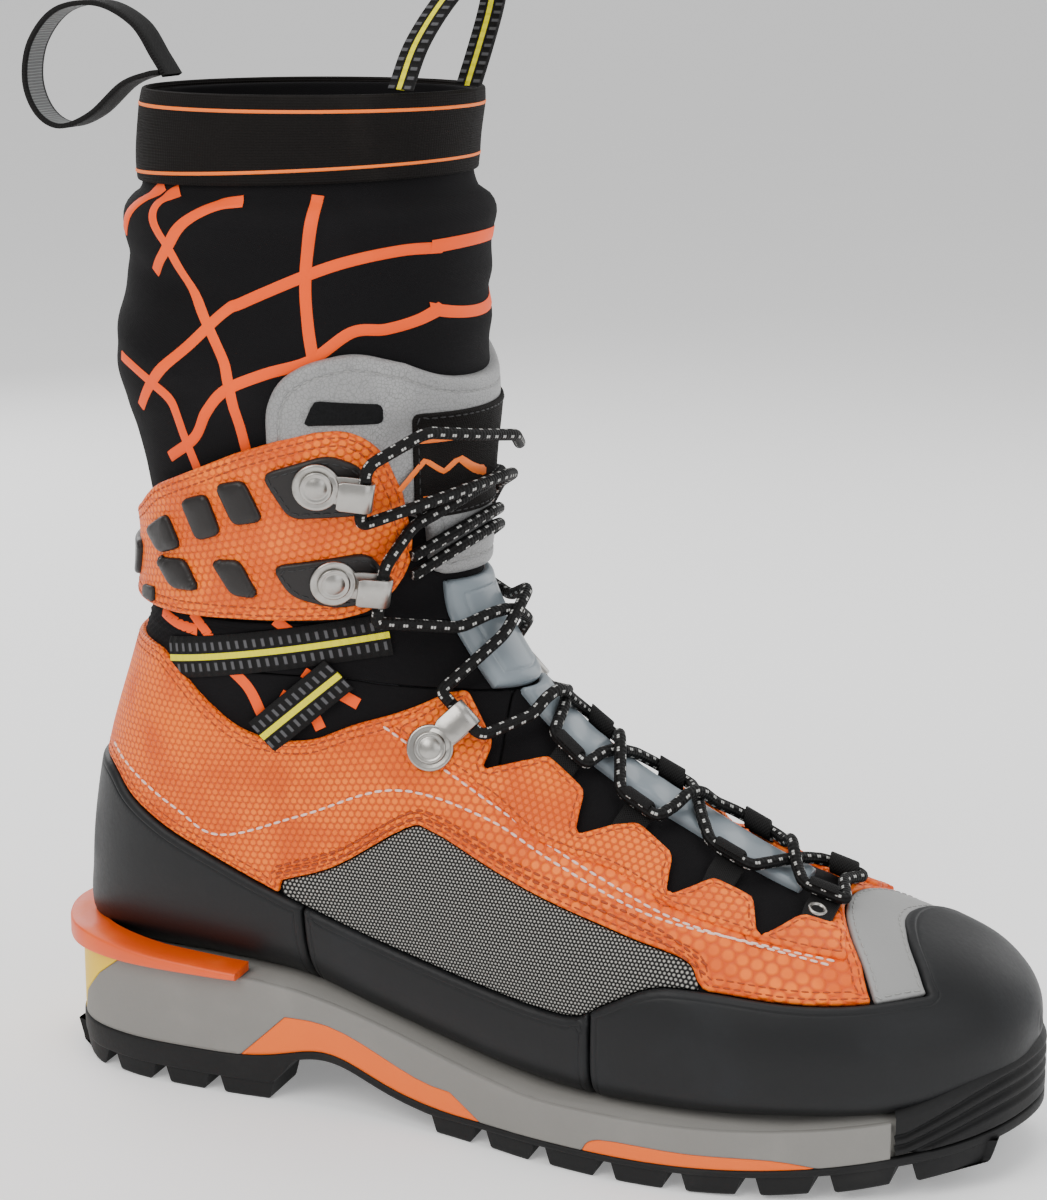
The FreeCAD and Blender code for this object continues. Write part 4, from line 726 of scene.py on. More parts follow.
class Panel:
    # A piece of the skin where a field is positive, with exact edges at the levels asked for.
    def __init__(self, skin, field, levels=(), extra=()):
        rows, columns = field.shape
        i, j = np.meshgrid(np.arange(rows - 1), np.arange(columns), indexing="ij")
        a = (i * columns + j).ravel()
        b = (i * columns + (j + 1) % columns).ravel()
        quads = np.stack([a, b, b + columns, a + columns], 1)
        near = (field.ravel()[quads] > -0.5).any(1)
        quads = quads[near]
        triangles = np.vstack([quads[:, [0, 1, 2]], quads[:, [0, 2, 3]]])
        used, triangles = np.unique(triangles, return_inverse=True)
        triangles = triangles.reshape(-1, 3)
        columnsOfData = [skin.place.reshape(-1, 3), skin.normal.reshape(-1, 3), field.reshape(-1, 1),
                         skin.x.reshape(-1, 1), skin.z.reshape(-1, 1), skin.u.reshape(-1, 1),
                         skin.angle.reshape(-1, 1)]
        columnsOfData += [e.reshape(-1, 1) for e in extra]
        data = np.hstack(columnsOfData)[used]
        for level in sorted({0.0, *levels}):
            triangles, data = splitAt(triangles, data, 6, level)
        keep = data[triangles, 6].min(1) > -1e-4
        keep &= data[triangles, 6].max(1) > 1e-4
        used, triangles = np.unique(triangles[keep], return_inverse=True)
        self.triangles = triangles.reshape(-1, 3)
        data = data[used]
        self.place, self.normal, self.field = data[:, :3], data[:, 3:6], data[:, 6]
        self.x, self.z, self.u, self.angle = data[:, 7], data[:, 8], data[:, 9], data[:, 10]
        self.extra = data[:, 11:]

    def borderEdges(self):
        t = self.triangles
        edges = np.vstack([t[:, [0, 1]], t[:, [1, 2]], t[:, [2, 0]]])
        keys = np.sort(edges, axis=1)
        _, index, count = np.unique(keys, axis=0, return_inverse=True, return_counts=True)
        return edges[count[index.reshape(-1)] == 1]

    def points(self, height):
        return self.place + self.normal * np.asarray(height)[:, None]


def edgeProfile(field, wall, roundness):
    # height of a panel's face: full inside, rolled over towards its edge
    t = np.clip(field / roundness, 0, 1)
    return wall * (0.35 + 0.65 * np.sqrt(np.clip(1 - (1 - t) ** 2, 0, 1)))


def panelLevels(roundness, grooves=()):
    levels = [roundness * s for s in (0.08, 0.25, 0.55, 1.0)]
    for at, half, _ in grooves:
        levels += [at - half, at - half * 0.45, at, at + half * 0.45, at + half]
    return levels


def grooveDepth(field, grooves):
    # seams pull the face down along lines at set distances from the edge
    drop = np.zeros(field.shape)
    for at, half, depth in grooves:
        drop += depth * np.clip(1 - np.abs(field - at) / half, 0, 1) ** 1.5
    return drop


def unwrapInMillimetres(piece):
    # A low-distortion map, scaled to millimetres, with u along the boot.
    bpy.ops.object.select_all(action="DESELECT")
    bpy.context.view_layer.objects.active = piece
    piece.select_set(True)
    mesh = piece.data
    if not mesh.uv_layers:
        mesh.uv_layers.new(name="UVMap")
    bpy.ops.object.mode_set(mode="EDIT")
    bpy.ops.mesh.select_all(action="SELECT")
    bpy.ops.uv.unwrap(method="CONFORMAL", margin=0.0)
    bpy.ops.object.mode_set(mode="OBJECT")
    count = len(mesh.loops)
    uv = np.empty(count * 2)
    mesh.uv_layers[0].data.foreach_get("uv", uv)
    uv = uv.reshape(-1, 2)
    corner = np.empty(count, int)
    mesh.loops.foreach_get("vertex_index", corner)
    place = np.empty(len(mesh.vertices) * 3)
    mesh.vertices.foreach_get("co", place)
    place = place.reshape(-1, 3)[corner] / mm
    triangles = count // 3
    p = place[:triangles * 3].reshape(-1, 3, 3)
    q = uv[:triangles * 3].reshape(-1, 3, 2)
    e1, e2 = p[:, 1] - p[:, 0], p[:, 2] - p[:, 0]
    f1, f2 = q[:, 1] - q[:, 0], q[:, 2] - q[:, 0]
    area = np.linalg.norm(np.cross(e1, e2), axis=1)
    flat = np.abs(f1[:, 0] * f2[:, 1] - f1[:, 1] * f2[:, 0])
    scale = math.sqrt(area.sum() / max(flat.sum(), 1e-12))
    det = f1[:, 0] * f2[:, 1] - f1[:, 1] * f2[:, 0]
    det[np.abs(det) < 1e-12] = 1e-12
    gu = (e1[:, 0] * f2[:, 1] - e2[:, 0] * f1[:, 1]) / det
    gv = (-e1[:, 0] * f2[:, 0] + e2[:, 0] * f1[:, 0]) / det
    weight = np.abs(det)
    direction = math.atan2((gv * weight).sum(), (gu * weight).sum())
    c, s = math.cos(-direction), math.sin(-direction)
    turned = (uv - uv.mean(0)) @ np.array([[c, s], [-s, c]]) * scale
    mesh.uv_layers[0].data.foreach_set("uv", turned.ravel())


def shellPiece(name, panel, inside, height, material, body, replaces=(), uv=None, unwrap=False):
    # A closed-looking shell: the shaped face, and a rim down to the layer below.
    face = panel.points(inside + height)
    border = panel.borderEdges()
    rim, index = np.unique(border, return_inverse=True)
    index = index.reshape(-1, 2) + len(face)
    low = panel.place[rim] + panel.normal[rim] * (inside - 0.1)
    quads = np.stack([border[:, 1], border[:, 0], index[:, 0], index[:, 1]], 1)
    faces = [tuple(t) for t in panel.triangles] + [tuple(q) for q in quads]
    points = np.vstack([face, low])
    if uv is not None:
        uv = np.vstack([uv, uv[rim]])
    piece = makePanelMesh(name, points, faces, uv)
    if unwrap:
        unwrapInMillimetres(piece)
    return finishPiece(piece, material, body, replaces)


def makePanelMesh(name, points, faces, uv=None):
    mesh = bpy.data.meshes.new(name)
    mesh.from_pydata(toFrame(points).tolist(), [], [tuple(int(k) for k in f) for f in faces])
    mesh.update()
    mesh.shade_smooth()
    if uv is not None:
        layer = mesh.uv_layers.new(name="UVMap")
        corner = np.empty(len(mesh.loops), int)
        mesh.loops.foreach_get("vertex_index", corner)
        layer.data.foreach_set("uv", np.asarray(uv, float)[corner].ravel())
    piece = bpy.data.objects.new(name, mesh)
    bpy.context.scene.collection.objects.link(piece)
    return piece


def chainsAt(panel, level):
    # runs of panel points along one level of its field
    on = np.abs(panel.field - level) < 1e-4
    t = panel.triangles
    edges = np.vstack([t[:, [0, 1]], t[:, [1, 2]], t[:, [2, 0]]])
    edges = np.unique(np.sort(edges[on[edges].all(1)], axis=1), axis=0)
    links = {}
    for a, b in edges.tolist():
        links.setdefault(a, []).append(b)
        links.setdefault(b, []).append(a)
    seen, chains = set(), []
    for start in sorted(links, key=lambda k: len(links[k])):
        if start in seen:
            continue
        chain = [start]
        seen.add(start)
        while True:
            ahead = [k for k in links[chain[-1]] if k not in seen]
            if not ahead:
                break
            chain.append(ahead[0])
            seen.add(ahead[0])
        if len(chain) > 4:
            chains.append(chain)
    return chains


def alongLine(points, spacing, start=0.0):
    # even places along a line, with the direction at each
    points = np.asarray(points, float)
    run = np.concatenate([[0], np.cumsum(np.linalg.norm(np.diff(points, axis=0), axis=1))])
    at = np.arange(start, run[-1], spacing)
    place = np.stack([np.interp(at, run, points[:, k]) for k in range(3)], 1)
    near = 0.8
    ahead = np.stack([np.interp(at + near, run, points[:, k]) - np.interp(at - near, run, points[:, k])
                      for k in range(3)], 1)
    return place, ahead / np.maximum(np.linalg.norm(ahead, axis=1, keepdims=True), 1e-9), at


def capsuleMesh(length, radius):
    rings, sides = ((-0.5, 0.35), (-0.36, 0.85), (0.0, 1.0), (0.36, 0.85), (0.5, 0.35)), 6
    points = [(at * length, radius * share * math.cos(2 * math.pi * k / sides),
               radius * share * math.sin(2 * math.pi * k / sides)) for at,
              share in rings for k in range(sides)]
    faces = []
    for r in range(len(rings) - 1):
        for k in range(sides):
            n = (k + 1) % sides
            faces.append((r * sides + k, r * sides + n, (r + 1) * sides + n, (r + 1) * sides + k))
    faces.append(tuple(range(sides))[::-1])
    faces.append(tuple(range((len(rings) - 1) * sides, len(rings) * sides)))
    return np.array(points), faces


class Stitches:
    # many small stitches gathered into one piece
    def __init__(self):
        self.points, self.faces, self.count = [], [], 0

    def lay(self, place, ahead, normal, length=2.1, radius=0.36, lift=0.05):
        shape, faces = capsuleMesh(length, radius)
        normal = normal - ahead * np.sum(normal * ahead, axis=1, keepdims=True)
        normal /= np.maximum(np.linalg.norm(normal, axis=1, keepdims=True), 1e-9)
        across = np.cross(normal, ahead)
        for p, a, c, n in zip(place + normal * lift, ahead, across, normal):
            self.points.append(p + shape[:, :1] * a + shape[:, 1:2] * c + shape[:, 2:] * n)
            self.faces += [tuple(k + self.count for k in f) for f in faces]
            self.count += len(shape)

    def alongField(self, panel, level, height, spacing=3.0, **shape):
        for chain in chainsAt(panel, level):
            line = panel.place[chain] + panel.normal[chain] * np.asarray(height)[chain][:, None]
            place, ahead, at = alongLine(line, spacing)
            if len(at) < 2:
                continue
            run = np.concatenate([[0], np.cumsum(np.linalg.norm(np.diff(line, axis=0), axis=1))])
            normal = np.stack([np.interp(at, run, panel.normal[chain][:, k]) for k in range(3)], 1)
            self.lay(place, ahead, normal, **shape)

    def alongPoints(self, place, normal, spacing=3.0, **shape):
        spots, ahead, at = alongLine(place, spacing)
        run = np.concatenate([[0], np.cumsum(np.linalg.norm(np.diff(place, axis=0), axis=1))])
        facing = np.stack([np.interp(at, run, normal[:, k]) for k in range(3)], 1)
        self.lay(spots, ahead, facing, **shape)

    def finish(self, name, material, body, slot):
        if self.points:
            piece = makePanelMesh(name, np.vstack(self.points), self.faces)
            return finishPiece(piece, material, body)


def stationAt(z):
    rows = lastStations[12:, 1]
    return 12 + float(np.interp(z, rows, np.arange(len(rows))))


skin = Skin(1.7, 260)
print("skin", skin.place.shape)
from mathutils.kdtree import KDTree
trees = {}


def surfaceAt(points, side):
    # places and directions of the last at side-view points
    if side not in trees:
        chosen = np.argwhere((side * skin.y > 0) & (side * skin.normal[..., 1] > -0.1))
        tree = KDTree(len(chosen))
        for k, (i, j) in enumerate(chosen.tolist()):
            tree.insert((skin.x[i, j], skin.z[i, j], 0.0), k)
        tree.balance()
        trees[side] = tree, chosen
    tree, chosen = trees[side]
    rows, columns = skin.x.shape
    places, normals = [], []
    for x, z in points:
        i, j = chosen[tree.find((x, z, 0.0))[1]]
        i = min(max(i, 1), rows - 2)
        jn, jp = (j + 1) % columns, (j - 1) % columns
        slopes = np.array([[(skin.x[i + 1, j] - skin.x[i - 1, j]) / 2, (skin.x[i, jn] - skin.x[i, jp]) / 2],
                           [(skin.z[i + 1, j] - skin.z[i - 1, j]) / 2,
                            (skin.z[i, jn] - skin.z[i, jp]) / 2]])
        miss = np.array([x - skin.x[i, j], z - skin.z[i, j]])
        det = np.linalg.det(slopes)
        step = np.clip(np.linalg.solve(slopes, miss), -1, 1) if abs(det) > 0.05 else np.zeros(2)
        fi, fj = i + step[0], j + step[1]
        i0, j0 = int(np.floor(fi)), int(np.floor(fj))
        ti, tj = fi - i0, fj - j0
        i1 = min(i0 + 1, rows - 1)
        a, b = j0 % columns, (j0 + 1) % columns
        for store, source in ((places, skin.place), (normals, skin.normal)):
            store.append((1 - ti) * ((1 - tj) * source[i0, a] + tj * source[i0, b])
                         + ti * ((1 - tj) * source[i1, a] + tj * source[i1, b]))
    normals = np.array(normals)
    return np.array(places), normals / np.linalg.norm(normals, axis=1, keepdims=True)


def pointOn(x, z, side, offset):
    # the point of the last, grown by offset, at a side-view place
    low, high = np.array([0.0, 0.02]), np.array([len(lastStations) - 1.0, math.pi - 0.02])
    for steps in (36, 12, 12, 12, 12):
        u, a = np.meshgrid(np.linspace(low[0], high[0], steps + 1), np.linspace(low[1], high[1], steps + 1))
        p = lastPoint(u, side * a, offset)
        k = np.unravel_index(np.argmin((p[..., 0] - x) ** 2 + (p[..., 2] - z) ** 2), u.shape)
        best = np.array([u[k], a[k]])
        step = (high - low) / steps
        low = np.maximum(best - step, [0.0, 0.0])
        high = np.minimum(best + step, [len(lastStations) - 1.0, math.pi])
    return p[k]


def sideOf(side, field, clear=0.2):
    return np.minimum(field, side * skin.y - clear) if side else field


def ringUv():
    # arc length round each section and height, in millimetres
    run = np.cumsum(np.linalg.norm(skin.round, axis=-1), axis=1)
    middle = run[:, :1] * 0 + run[:, [skin.place.shape[1] // 2]]
    down = np.cumsum(np.linalg.norm(skin.down, axis=-1), axis=0)[:, [40]]
    return run - middle, np.repeat(down, run.shape[1], 1)


skinRound, skinDown = ringUv()


def fieldPiece(name, field, inside, wall, material, body, slot, replaces=(), roundness=1.2, grooves=(),
               unwrap=False, puff=0.0, puffReach=9.0, shape=None, stitches=()):
    # a panel over the last with a rolled edge, pressed-in seams and an optional cushion
    panel = Panel(skin, field, panelLevels(roundness, grooves) + [s[1] for s in stitches],
                  (skinRound, skinDown))
    height = edgeProfile(panel.field, wall, roundness) - grooveDepth(panel.field, grooves)
    if puff:
        t = np.clip(panel.field / puffReach, 0, 1)
        height = height + puff * t * t * (3 - 2 * t)
    if shape is not None:
        height = height + shape(panel)
    for gather, level, settings in stitches:
        gather.alongField(panel, level, inside + height, **settings)
    piece = shellPiece(name, panel, inside, height, material, body, replaces,
                       uv=panel.extra[:, :2], unwrap=unwrap)
    return piece, panel, inside + height


layers = {"gap": 0.15, "panel": 1.7, "eyestay": 1.2, "rand": 2.9, "pad": 3.2, "cuff": 1.8, "lug": 1.6,
          "band": 1.4}
gap = layers["gap"]
rustStitches, whiteStitches, greyStitches = Stitches(), Stitches(), Stitches()
cuffRust, cuffGrey, cuffBlack = Stitches(), Stitches(), Stitches()


def featherLine(x, lift=0.0):
    t = np.clip((x - 65.0) / 110.0, 0, 1)
    spring = 10.0 * max(0.0, (x - 200.0) / 106.0) ** 2
    return 19.5 + 19.0 * (1 - t * t * (3 - 2 * t)) + 0.9 * spring + lift


def featherPoints(x0, x1, lift=0.1, count=12):
    return [(x, featherLine(x, lift)) for x in np.linspace(x0, x1, count)]


randTop = smoothLine(((-6.0, 100.0), (16.0, 99.5), (25.0, 97.5), (33.0, 91.0), (46.0, 83.5), (60.0, 77.0),
                      (83.0, 67.0), (113.0, 57.0), (148.0, 49.0), (178.0, 45.5), (190.0, 51.0),
                      (203.0, 57.5),
                      (217.0, 58.5), (248.0, 56.5), (278.0, 57.5)), 4)
capRear = smoothLine(((278.0, 57.5), (274.0, 63.0), (268.0, 68.5), (262.5, 72.0), (258.0, 78.0)), 4)
stripRear = smoothLine(((265.5, 57.0), (260.0, 65.0), (253.0, 71.5), (247.5, 76.0), (244.0, 82.0)), 4)
windowTop = smoothLine(((84.5, 71.0), (102.0, 77.5), (124.0, 91.5), (132.0, 91.5), (150.0, 83.5),
                        (168.0, 77.0),
                        (193.0, 70.5), (212.0, 66.0), (217.0, 60.5)), 4)
quarterTop = smoothLine(((-6.0, 141.0), (38.0, 140.5), (50.0, 137.0), (63.0, 125.5), (73.0, 118.0),
                         (84.0, 115.0),
                         (95.0, 116.0), (107.0, 121.0), (122.0, 126.0), (133.0, 131.0)), 4)
laceEdge = roundCorners(((133.0, 131.0), (138.0, 131.5), (147.0, 117.0), (145.0, 110.0), (155.0, 112.0),
                         (162.0, 113.0), (174.0, 104.0), (174.5, 94.0), (184.0, 96.0), (190.0, 96.0),
                         (202.0, 89.0),
                         (203.5, 80.5), (214.0, 83.5), (226.0, 78.5), (230.5, 71.0), (239.0, 74.5),
                         (246.8, 73.8)), 1.7, closed=False)


def makeRands():
    inside, wall = gap, layers["rand"]
    seam, toeStart = 91.0, 186.0
    heel = [*featherPoints(-6.0, seam), *reversed(cutBetween(randTop, -6.0, seam))]
    side = [*featherPoints(seam + 0.4, toeStart - 0.4),
            *reversed(cutBetween(randTop, seam + 0.4, toeStart - 0.4))]
    toe = [*featherPoints(toeStart, 312.0), (312.0, 90.0), (262.0, 90.0), *reversed(capRear),
           *reversed(cutBetween(randTop, toeStart, 277.9))]
    settings = {"roundness": 2.0, "grooves": ((2.6, 0.5, 0.25),)}
    fieldPiece("heelRand", skin.polygon(heel), inside, wall, "randRubber", "boot", "rand_rubber",
               ["heel_rand"],
               **settings)
    for side_, label in ((outer, "Outer"), (inner, "Inner")):
        fieldPiece("sideRand" + label, sideOf(side_, skin.polygon(side)), inside, wall, "randRubber",
                   "boot",
                   "rand_rubber", ["side_rand_" + label.lower()], **settings)
    fieldPiece("toeRand", skin.polygon(toe), inside, wall, "randRubber", "boot", "rand_rubber",
               ["toe_rand"],
               **settings)
    # the last ends in a small ring at the toe, which this fan closes
    tip = skin.place[0] + skin.normal[0] * (inside + wall)
    tip = np.vstack([tip, tip.mean(axis=0) + (0.7, 0.0, 0.0)])
    count = len(tip) - 1
    piece = makePanelMesh("toeTip", tip, [(k, (k + 1) % count, count) for k in range(count)])
    sharpen(piece, 80)
    finishPiece(piece, "randRubber", "boot")
    print("rands")


def makePanels():
    inside, wall = gap, layers["panel"]
    strip = [*moved(capRear, -0.4, 0.4), *reversed(stripRear)]
    fieldPiece("toeStrip", skin.polygon(strip), inside, wall, "greyStrip", "boot", "grey_strip",
               ["toe_strip"],
               roundness=0.9, stitches=((greyStitches, 1.6, {"radius": 0.3}),))
    window = [*windowTop, *reversed(moved(cutBetween(randTop, 84.5, 217.0), 0, 0.3))]
    front = moved(cutBetween(randTop, 219.0, 264.2), 0, 0.4)
    lifted = moved(cutBetween(randTop, -6.0, 83.0), 0, 0.4)
    quarter = [*lifted, *moved(windowTop, -0.2, 0.4), *front, *moved(stripRear[4:13], -0.4),
               *reversed(laceEdge),
               *reversed(quarterTop[:-1])]
    eyestayLow = smoothLine(((118.0, 121.0), (131.0, 113.0), (150.0, 101.5), (165.0, 92.0), (187.0, 86.0),
                             (210.0, 76.5), (236.0, 69.5), (255.0, 66.0)), 4)
    eyestay = [*eyestayLow, (252.0, 71.5), *reversed(laceEdge[1:-1]), (133.0, 130.5)]
    whole = skin.polygon(quarter)
    seams = ((1.5, 0.5, 0.22), (3.6, 0.5, 0.22))
    for side, label in ((outer, "Outer"), (inner, "Inner")):
        fieldPiece("meshPanel" + label, sideOf(side, skin.polygon(window)), inside, wall * 0.6,
                   "dottedMesh", "boot",
                   "dotted_mesh", ["mesh_panel_" + label.lower()], roundness=0.6, unwrap=True, puff=0.5)
        fieldPiece("quarter" + label, sideOf(side, whole), inside, wall, "orangeMicrofibre", "boot",
                   "orange_microfibre", ["quarter_" + label.lower()], grooves=seams, unwrap=True,
                   stitches=((rustStitches, 1.5, {"radius": 0.3}), (rustStitches, 3.6, {"radius": 0.3})))
        start = inside + wall + gap * 0.3
        fieldPiece("eyestay" + label, sideOf(side, skin.polygon(eyestay)), start, layers["eyestay"],
                   "orangeMicrofibre", "boot", "orange_microfibre", ["eyestay_" + label.lower()],
                   roundness=1.0, grooves=((1.9, 0.5, 0.2),), unwrap=True,
                   stitches=((rustStitches, 1.9, {"radius": 0.3}),))
    print("panels")


# few points each: down from the heel, over the ankle, along the quarter to the toe
seamLines = {
    "upper": ((25, 105), (50, 91), (65, 84), (92, 93), (120, 103), (148, 97), (170, 87), (200, 76),
              (252, 66)),
    "lower": ((117, 122), (138, 109), (152, 101), (178, 88), (210, 76), (250, 67)),
    "window": ((84, 74), (105, 82), (124, 94), (134, 94), (160, 83), (200, 72), (220, 62)),
}


def makeSeams():
    # pale and dark stitch rows over the quarter and the edge of the eyestay
    for side in (outer, inner):
        for key, lift, gather, shift in (("upper", 1.95, whiteStitches, 0.0),
                                         ("window", 1.9, rustStitches, 0.0),
                                         ("window", 1.9, rustStitches, 2.2)):
            place, normal = surfaceAt(moved(smoothLine(seamLines[key], 6), 0, shift), side)
            gather.alongPoints(place + normal * lift, normal, 3.1, length=2.3, radius=0.42)
        place, normal = surfaceAt(moved(smoothLine(seamLines["lower"], 6), 0, -1.5), side)
        whiteStitches.alongPoints(place + normal * 1.95, normal, 3.1, length=2.3, radius=0.42)
    print("seams")


soleOutline = ((4.0, 15.0, 15.0), (13.0, 26.5, 26.5), (30.0, 34.0, 34.0), (60.0, 37.0, 36.5),
               (90.0, 37.0, 36.0),
               (118.0, 39.5, 37.5), (145.0, 45.0, 42.0), (170.0, 51.5, 47.5), (197.0, 55.5, 52.0),
               (225.0, 55.0, 53.0), (250.0, 50.0, 51.0), (272.0, 41.0, 45.5), (290.0, 28.5, 36.0),
               (301.0, 13.5, 25.0))


def soleCurve(spacing=1.2):
    ring = [(0.0, 0.0), *[(x, -a) for x, a, b in soleOutline], (306.0, 6.0),
            *[(x, b) for x, a, b in reversed(soleOutline)]]
    p = np.array(ring)
    t = np.linspace(0, 1, 24, endpoint=False)[:, None]
    made = []
    for k in range(len(p)):
        a, b, c, d = (p[(k + s) % len(p)] for s in (-1, 0, 1, 2))
        la, lb, lc = (np.linalg.norm(q - r) ** 0.5 for q, r in ((b, a), (c, b), (d, c)))
        m1 = ((c - b) / lb - (c - a) / (la + lb) + (b - a) / la) * lb
        m2 = ((d - c) / lc - (d - b) / (lb + lc) + (c - b) / lb) * lb
        made.append((2 * t ** 3 - 3 * t ** 2 + 1) * b + (t ** 3 - 2 * t ** 2 + t) * m1
                    + (3 * t ** 2 - 2 * t ** 3) * c + (t ** 3 - t ** 2) * m2)
    made = np.vstack(made)
    run = np.concatenate([[0], np.cumsum(np.linalg.norm(np.diff(np.vstack([made, made[:1]]), axis=0),
                                                        axis=1))])
    at = np.linspace(0, run[-1], int(run[-1] / spacing), endpoint=False)
    closed = np.vstack([made, made[:1]])
    ring = np.stack([np.interp(at, run, closed[:, k]) for k in (0, 1)], 1)
    ahead = np.roll(ring, -1, axis=0) - np.roll(ring, 1, axis=0)
    ahead /= np.linalg.norm(ahead, axis=1, keepdims=True)
    return ring, np.stack([ahead[:, 1], -ahead[:, 0]], 1), at


soleRing, soleOut, soleRun = soleCurve()
if soleOut[len(soleOut) // 4, 1] > 0:
    soleOut = -soleOut


def smoothStep(t):
    t = np.clip(t, 0, 1)
    return t * t * (3 - 2 * t)


def springAt(x):
    return 10.0 * np.maximum(0.0, (x - 200.0) / 106.0) ** 2


def featherAt(x):
    return 19.5 + 19.0 * (1 - smoothStep((x - 65.0) / 110.0)) + 0.9 * springAt(x)


def groundAt(x):
    return springAt(x) + 4.0 * np.maximum(0.0, (16.0 - x) / 16.0) ** 1.5


def treadTop(x):
    arch = 5.0 * np.exp(-((x - 98.0) / 17.0) ** 2)
    return 7.5 + 5.8 * (1 - smoothStep((x - 90.0) / 55.0)) + arch + 1.15 * springAt(x)


def plateBottom(x):
    inArch = smoothStep((x - 78.0) / 10.0) * (1 - smoothStep((x - 128.0) / 14.0))
    return (groundAt(x) + 5.5) * (1 - inArch) + (treadTop(x) - 2.6) * inArch


def insertTop(x):
    return 27.5 - 13.0 * smoothStep((x - 92.0) / 46.0) - 4.0 * smoothStep((x - 138.0) / 20.0)


def ringStack(layersOfRing, caps=True):
    # a closed body from rings round the sole: growth and height of each
    points, faces = [], []
    count = len(soleRing)
    for grow, height in layersOfRing:
        xy = soleRing + soleOut * grow
        points.append(np.column_stack([xy, height(xy[:, 0])]))
    for r in range(len(layersOfRing) - 1):
        for k in range(count):
            n = (k + 1) % count
            faces.append((r * count + k, r * count + n, (r + 1) * count + n, (r + 1) * count + k))
    if caps:
        faces.append(tuple(range(count))[::-1])
        faces.append(tuple(range((len(layersOfRing) - 1) * count, len(layersOfRing) * count)))
    return np.vstack(points), faces


def lugMesh(x0, x1, side, low, taper=1.2):
    # one tread block: side is the edge it reaches, or none for the middle
    xs = np.linspace(x0, x1, 7)
    if side:
        edge = np.interp(xs, *edgeOf(side))
        outline = [(x, y) for x, y in zip(xs, edge)] + [(x, side * low) for x in xs[::-1]]
    else:
        outline = [(x, -low) for x in xs] + [(x, low) for x in xs[::-1]]
    outline = np.array(outline)
    middle = outline.mean(0)
    rings = []
    for spread, inset, rise in ((taper, -0.0, None), (-taper * 0.3, 0.0, 1.0), (-taper * 0.5, 0.25, 0.45),
                                (-taper, 0.8, 0.0)):
        p = outline.copy()
        across = p[:, 0] - middle[0]
        p[:, 0] += np.sign(across) * np.minimum(1.0, np.abs(across) / (x1 - x0) * 2) * spread
        p[:, 1] -= np.sign(p[:, 1] - middle[1]) * inset
        z = plateBottom(p[:, 0]) + 0.6 if rise is None else groundAt(p[:, 0]) + rise
        rings.append(np.column_stack([p, z]))
    count = len(outline)
    faces = []
    for r in range(len(rings) - 1):
        for k in range(count):
            n = (k + 1) % count
            faces.append((r * count + k, r * count + n, (r + 1) * count + n, (r + 1) * count + k))
    faces.append(tuple(range((len(rings) - 1) * count, len(rings) * count)))
    return np.vstack(rings), faces


edgeLines = {}


def edgeOf(side):
    if side not in edgeLines:
        xy = soleRing - soleOut * 0.8
        chosen = xy[side * xy[:, 1] > 0.5]
        chosen = chosen[np.argsort(chosen[:, 0])]
        edgeLines[side] = chosen[:, 0], chosen[:, 1]
    return edgeLines[side]


def joined(parts):
    points, faces, count = [], [], 0
    for p, f in parts:
        points.append(np.asarray(p))
        faces += [tuple(int(k) + count for k in face) for face in f]
        count += len(p)
    return np.vstack(points), faces


heelLugs = ((4.0, 19.0), (25.0, 38.0), (44.0, 57.0), (63.0, 79.0))
frontLugs = ((135.0, 148.0), (154.0, 168.0), (174.0, 189.0), (195.0, 210.0), (216.0, 231.0), (237.0, 251.0),
             (257.0, 272.0), (278.0, 297.0))


def makeOutsole():
    plate = ringStack(((-6.0, plateBottom), (-0.7, plateBottom), (-0.2, lambda x: plateBottom(x) + 0.3),
                       (0.0, lambda x: plateBottom(x) + 0.8), (0.0, lambda x: treadTop(x) - 0.9),
                       (-0.15, lambda x: treadTop(x) - 0.35), (-0.6, treadTop), (-6.0, treadTop)))
    parts = [plate]
    for x0, x1 in heelLugs:
        parts += [lugMesh(x0, x1, s, 17.0) for s in (outer, inner)]
    for x0, x1 in heelLugs[:-1]:
        parts.append(lugMesh(x0 + 9, x1 + 7, 0, 10.0))
    for x0, x1 in frontLugs:
        parts += [lugMesh(x0, x1, s, 22.0) for s in (outer, inner)]
    for x0, x1 in frontLugs[:-1]:
        parts.append(lugMesh(x0 + 10, x1 + 6, 0, 15.0))
    piece = makePanelMesh("outsole", *joined(parts))
    sharpen(piece, 40)
    finishPiece(piece, "soleRubber", "boot", ["outsole"])


def sharpen(piece, degrees):
    mesh = piece.data
    bm = bmesh.new()
    bm.from_mesh(mesh)
    bmesh.ops.recalc_face_normals(bm, faces=bm.faces)
    limit = math.radians(degrees)
    for edge in bm.edges:
        edge.smooth = not (len(edge.link_faces) == 2 and edge.calc_face_angle(0.0) > limit)
    bm.to_mesh(mesh)
    bm.free()


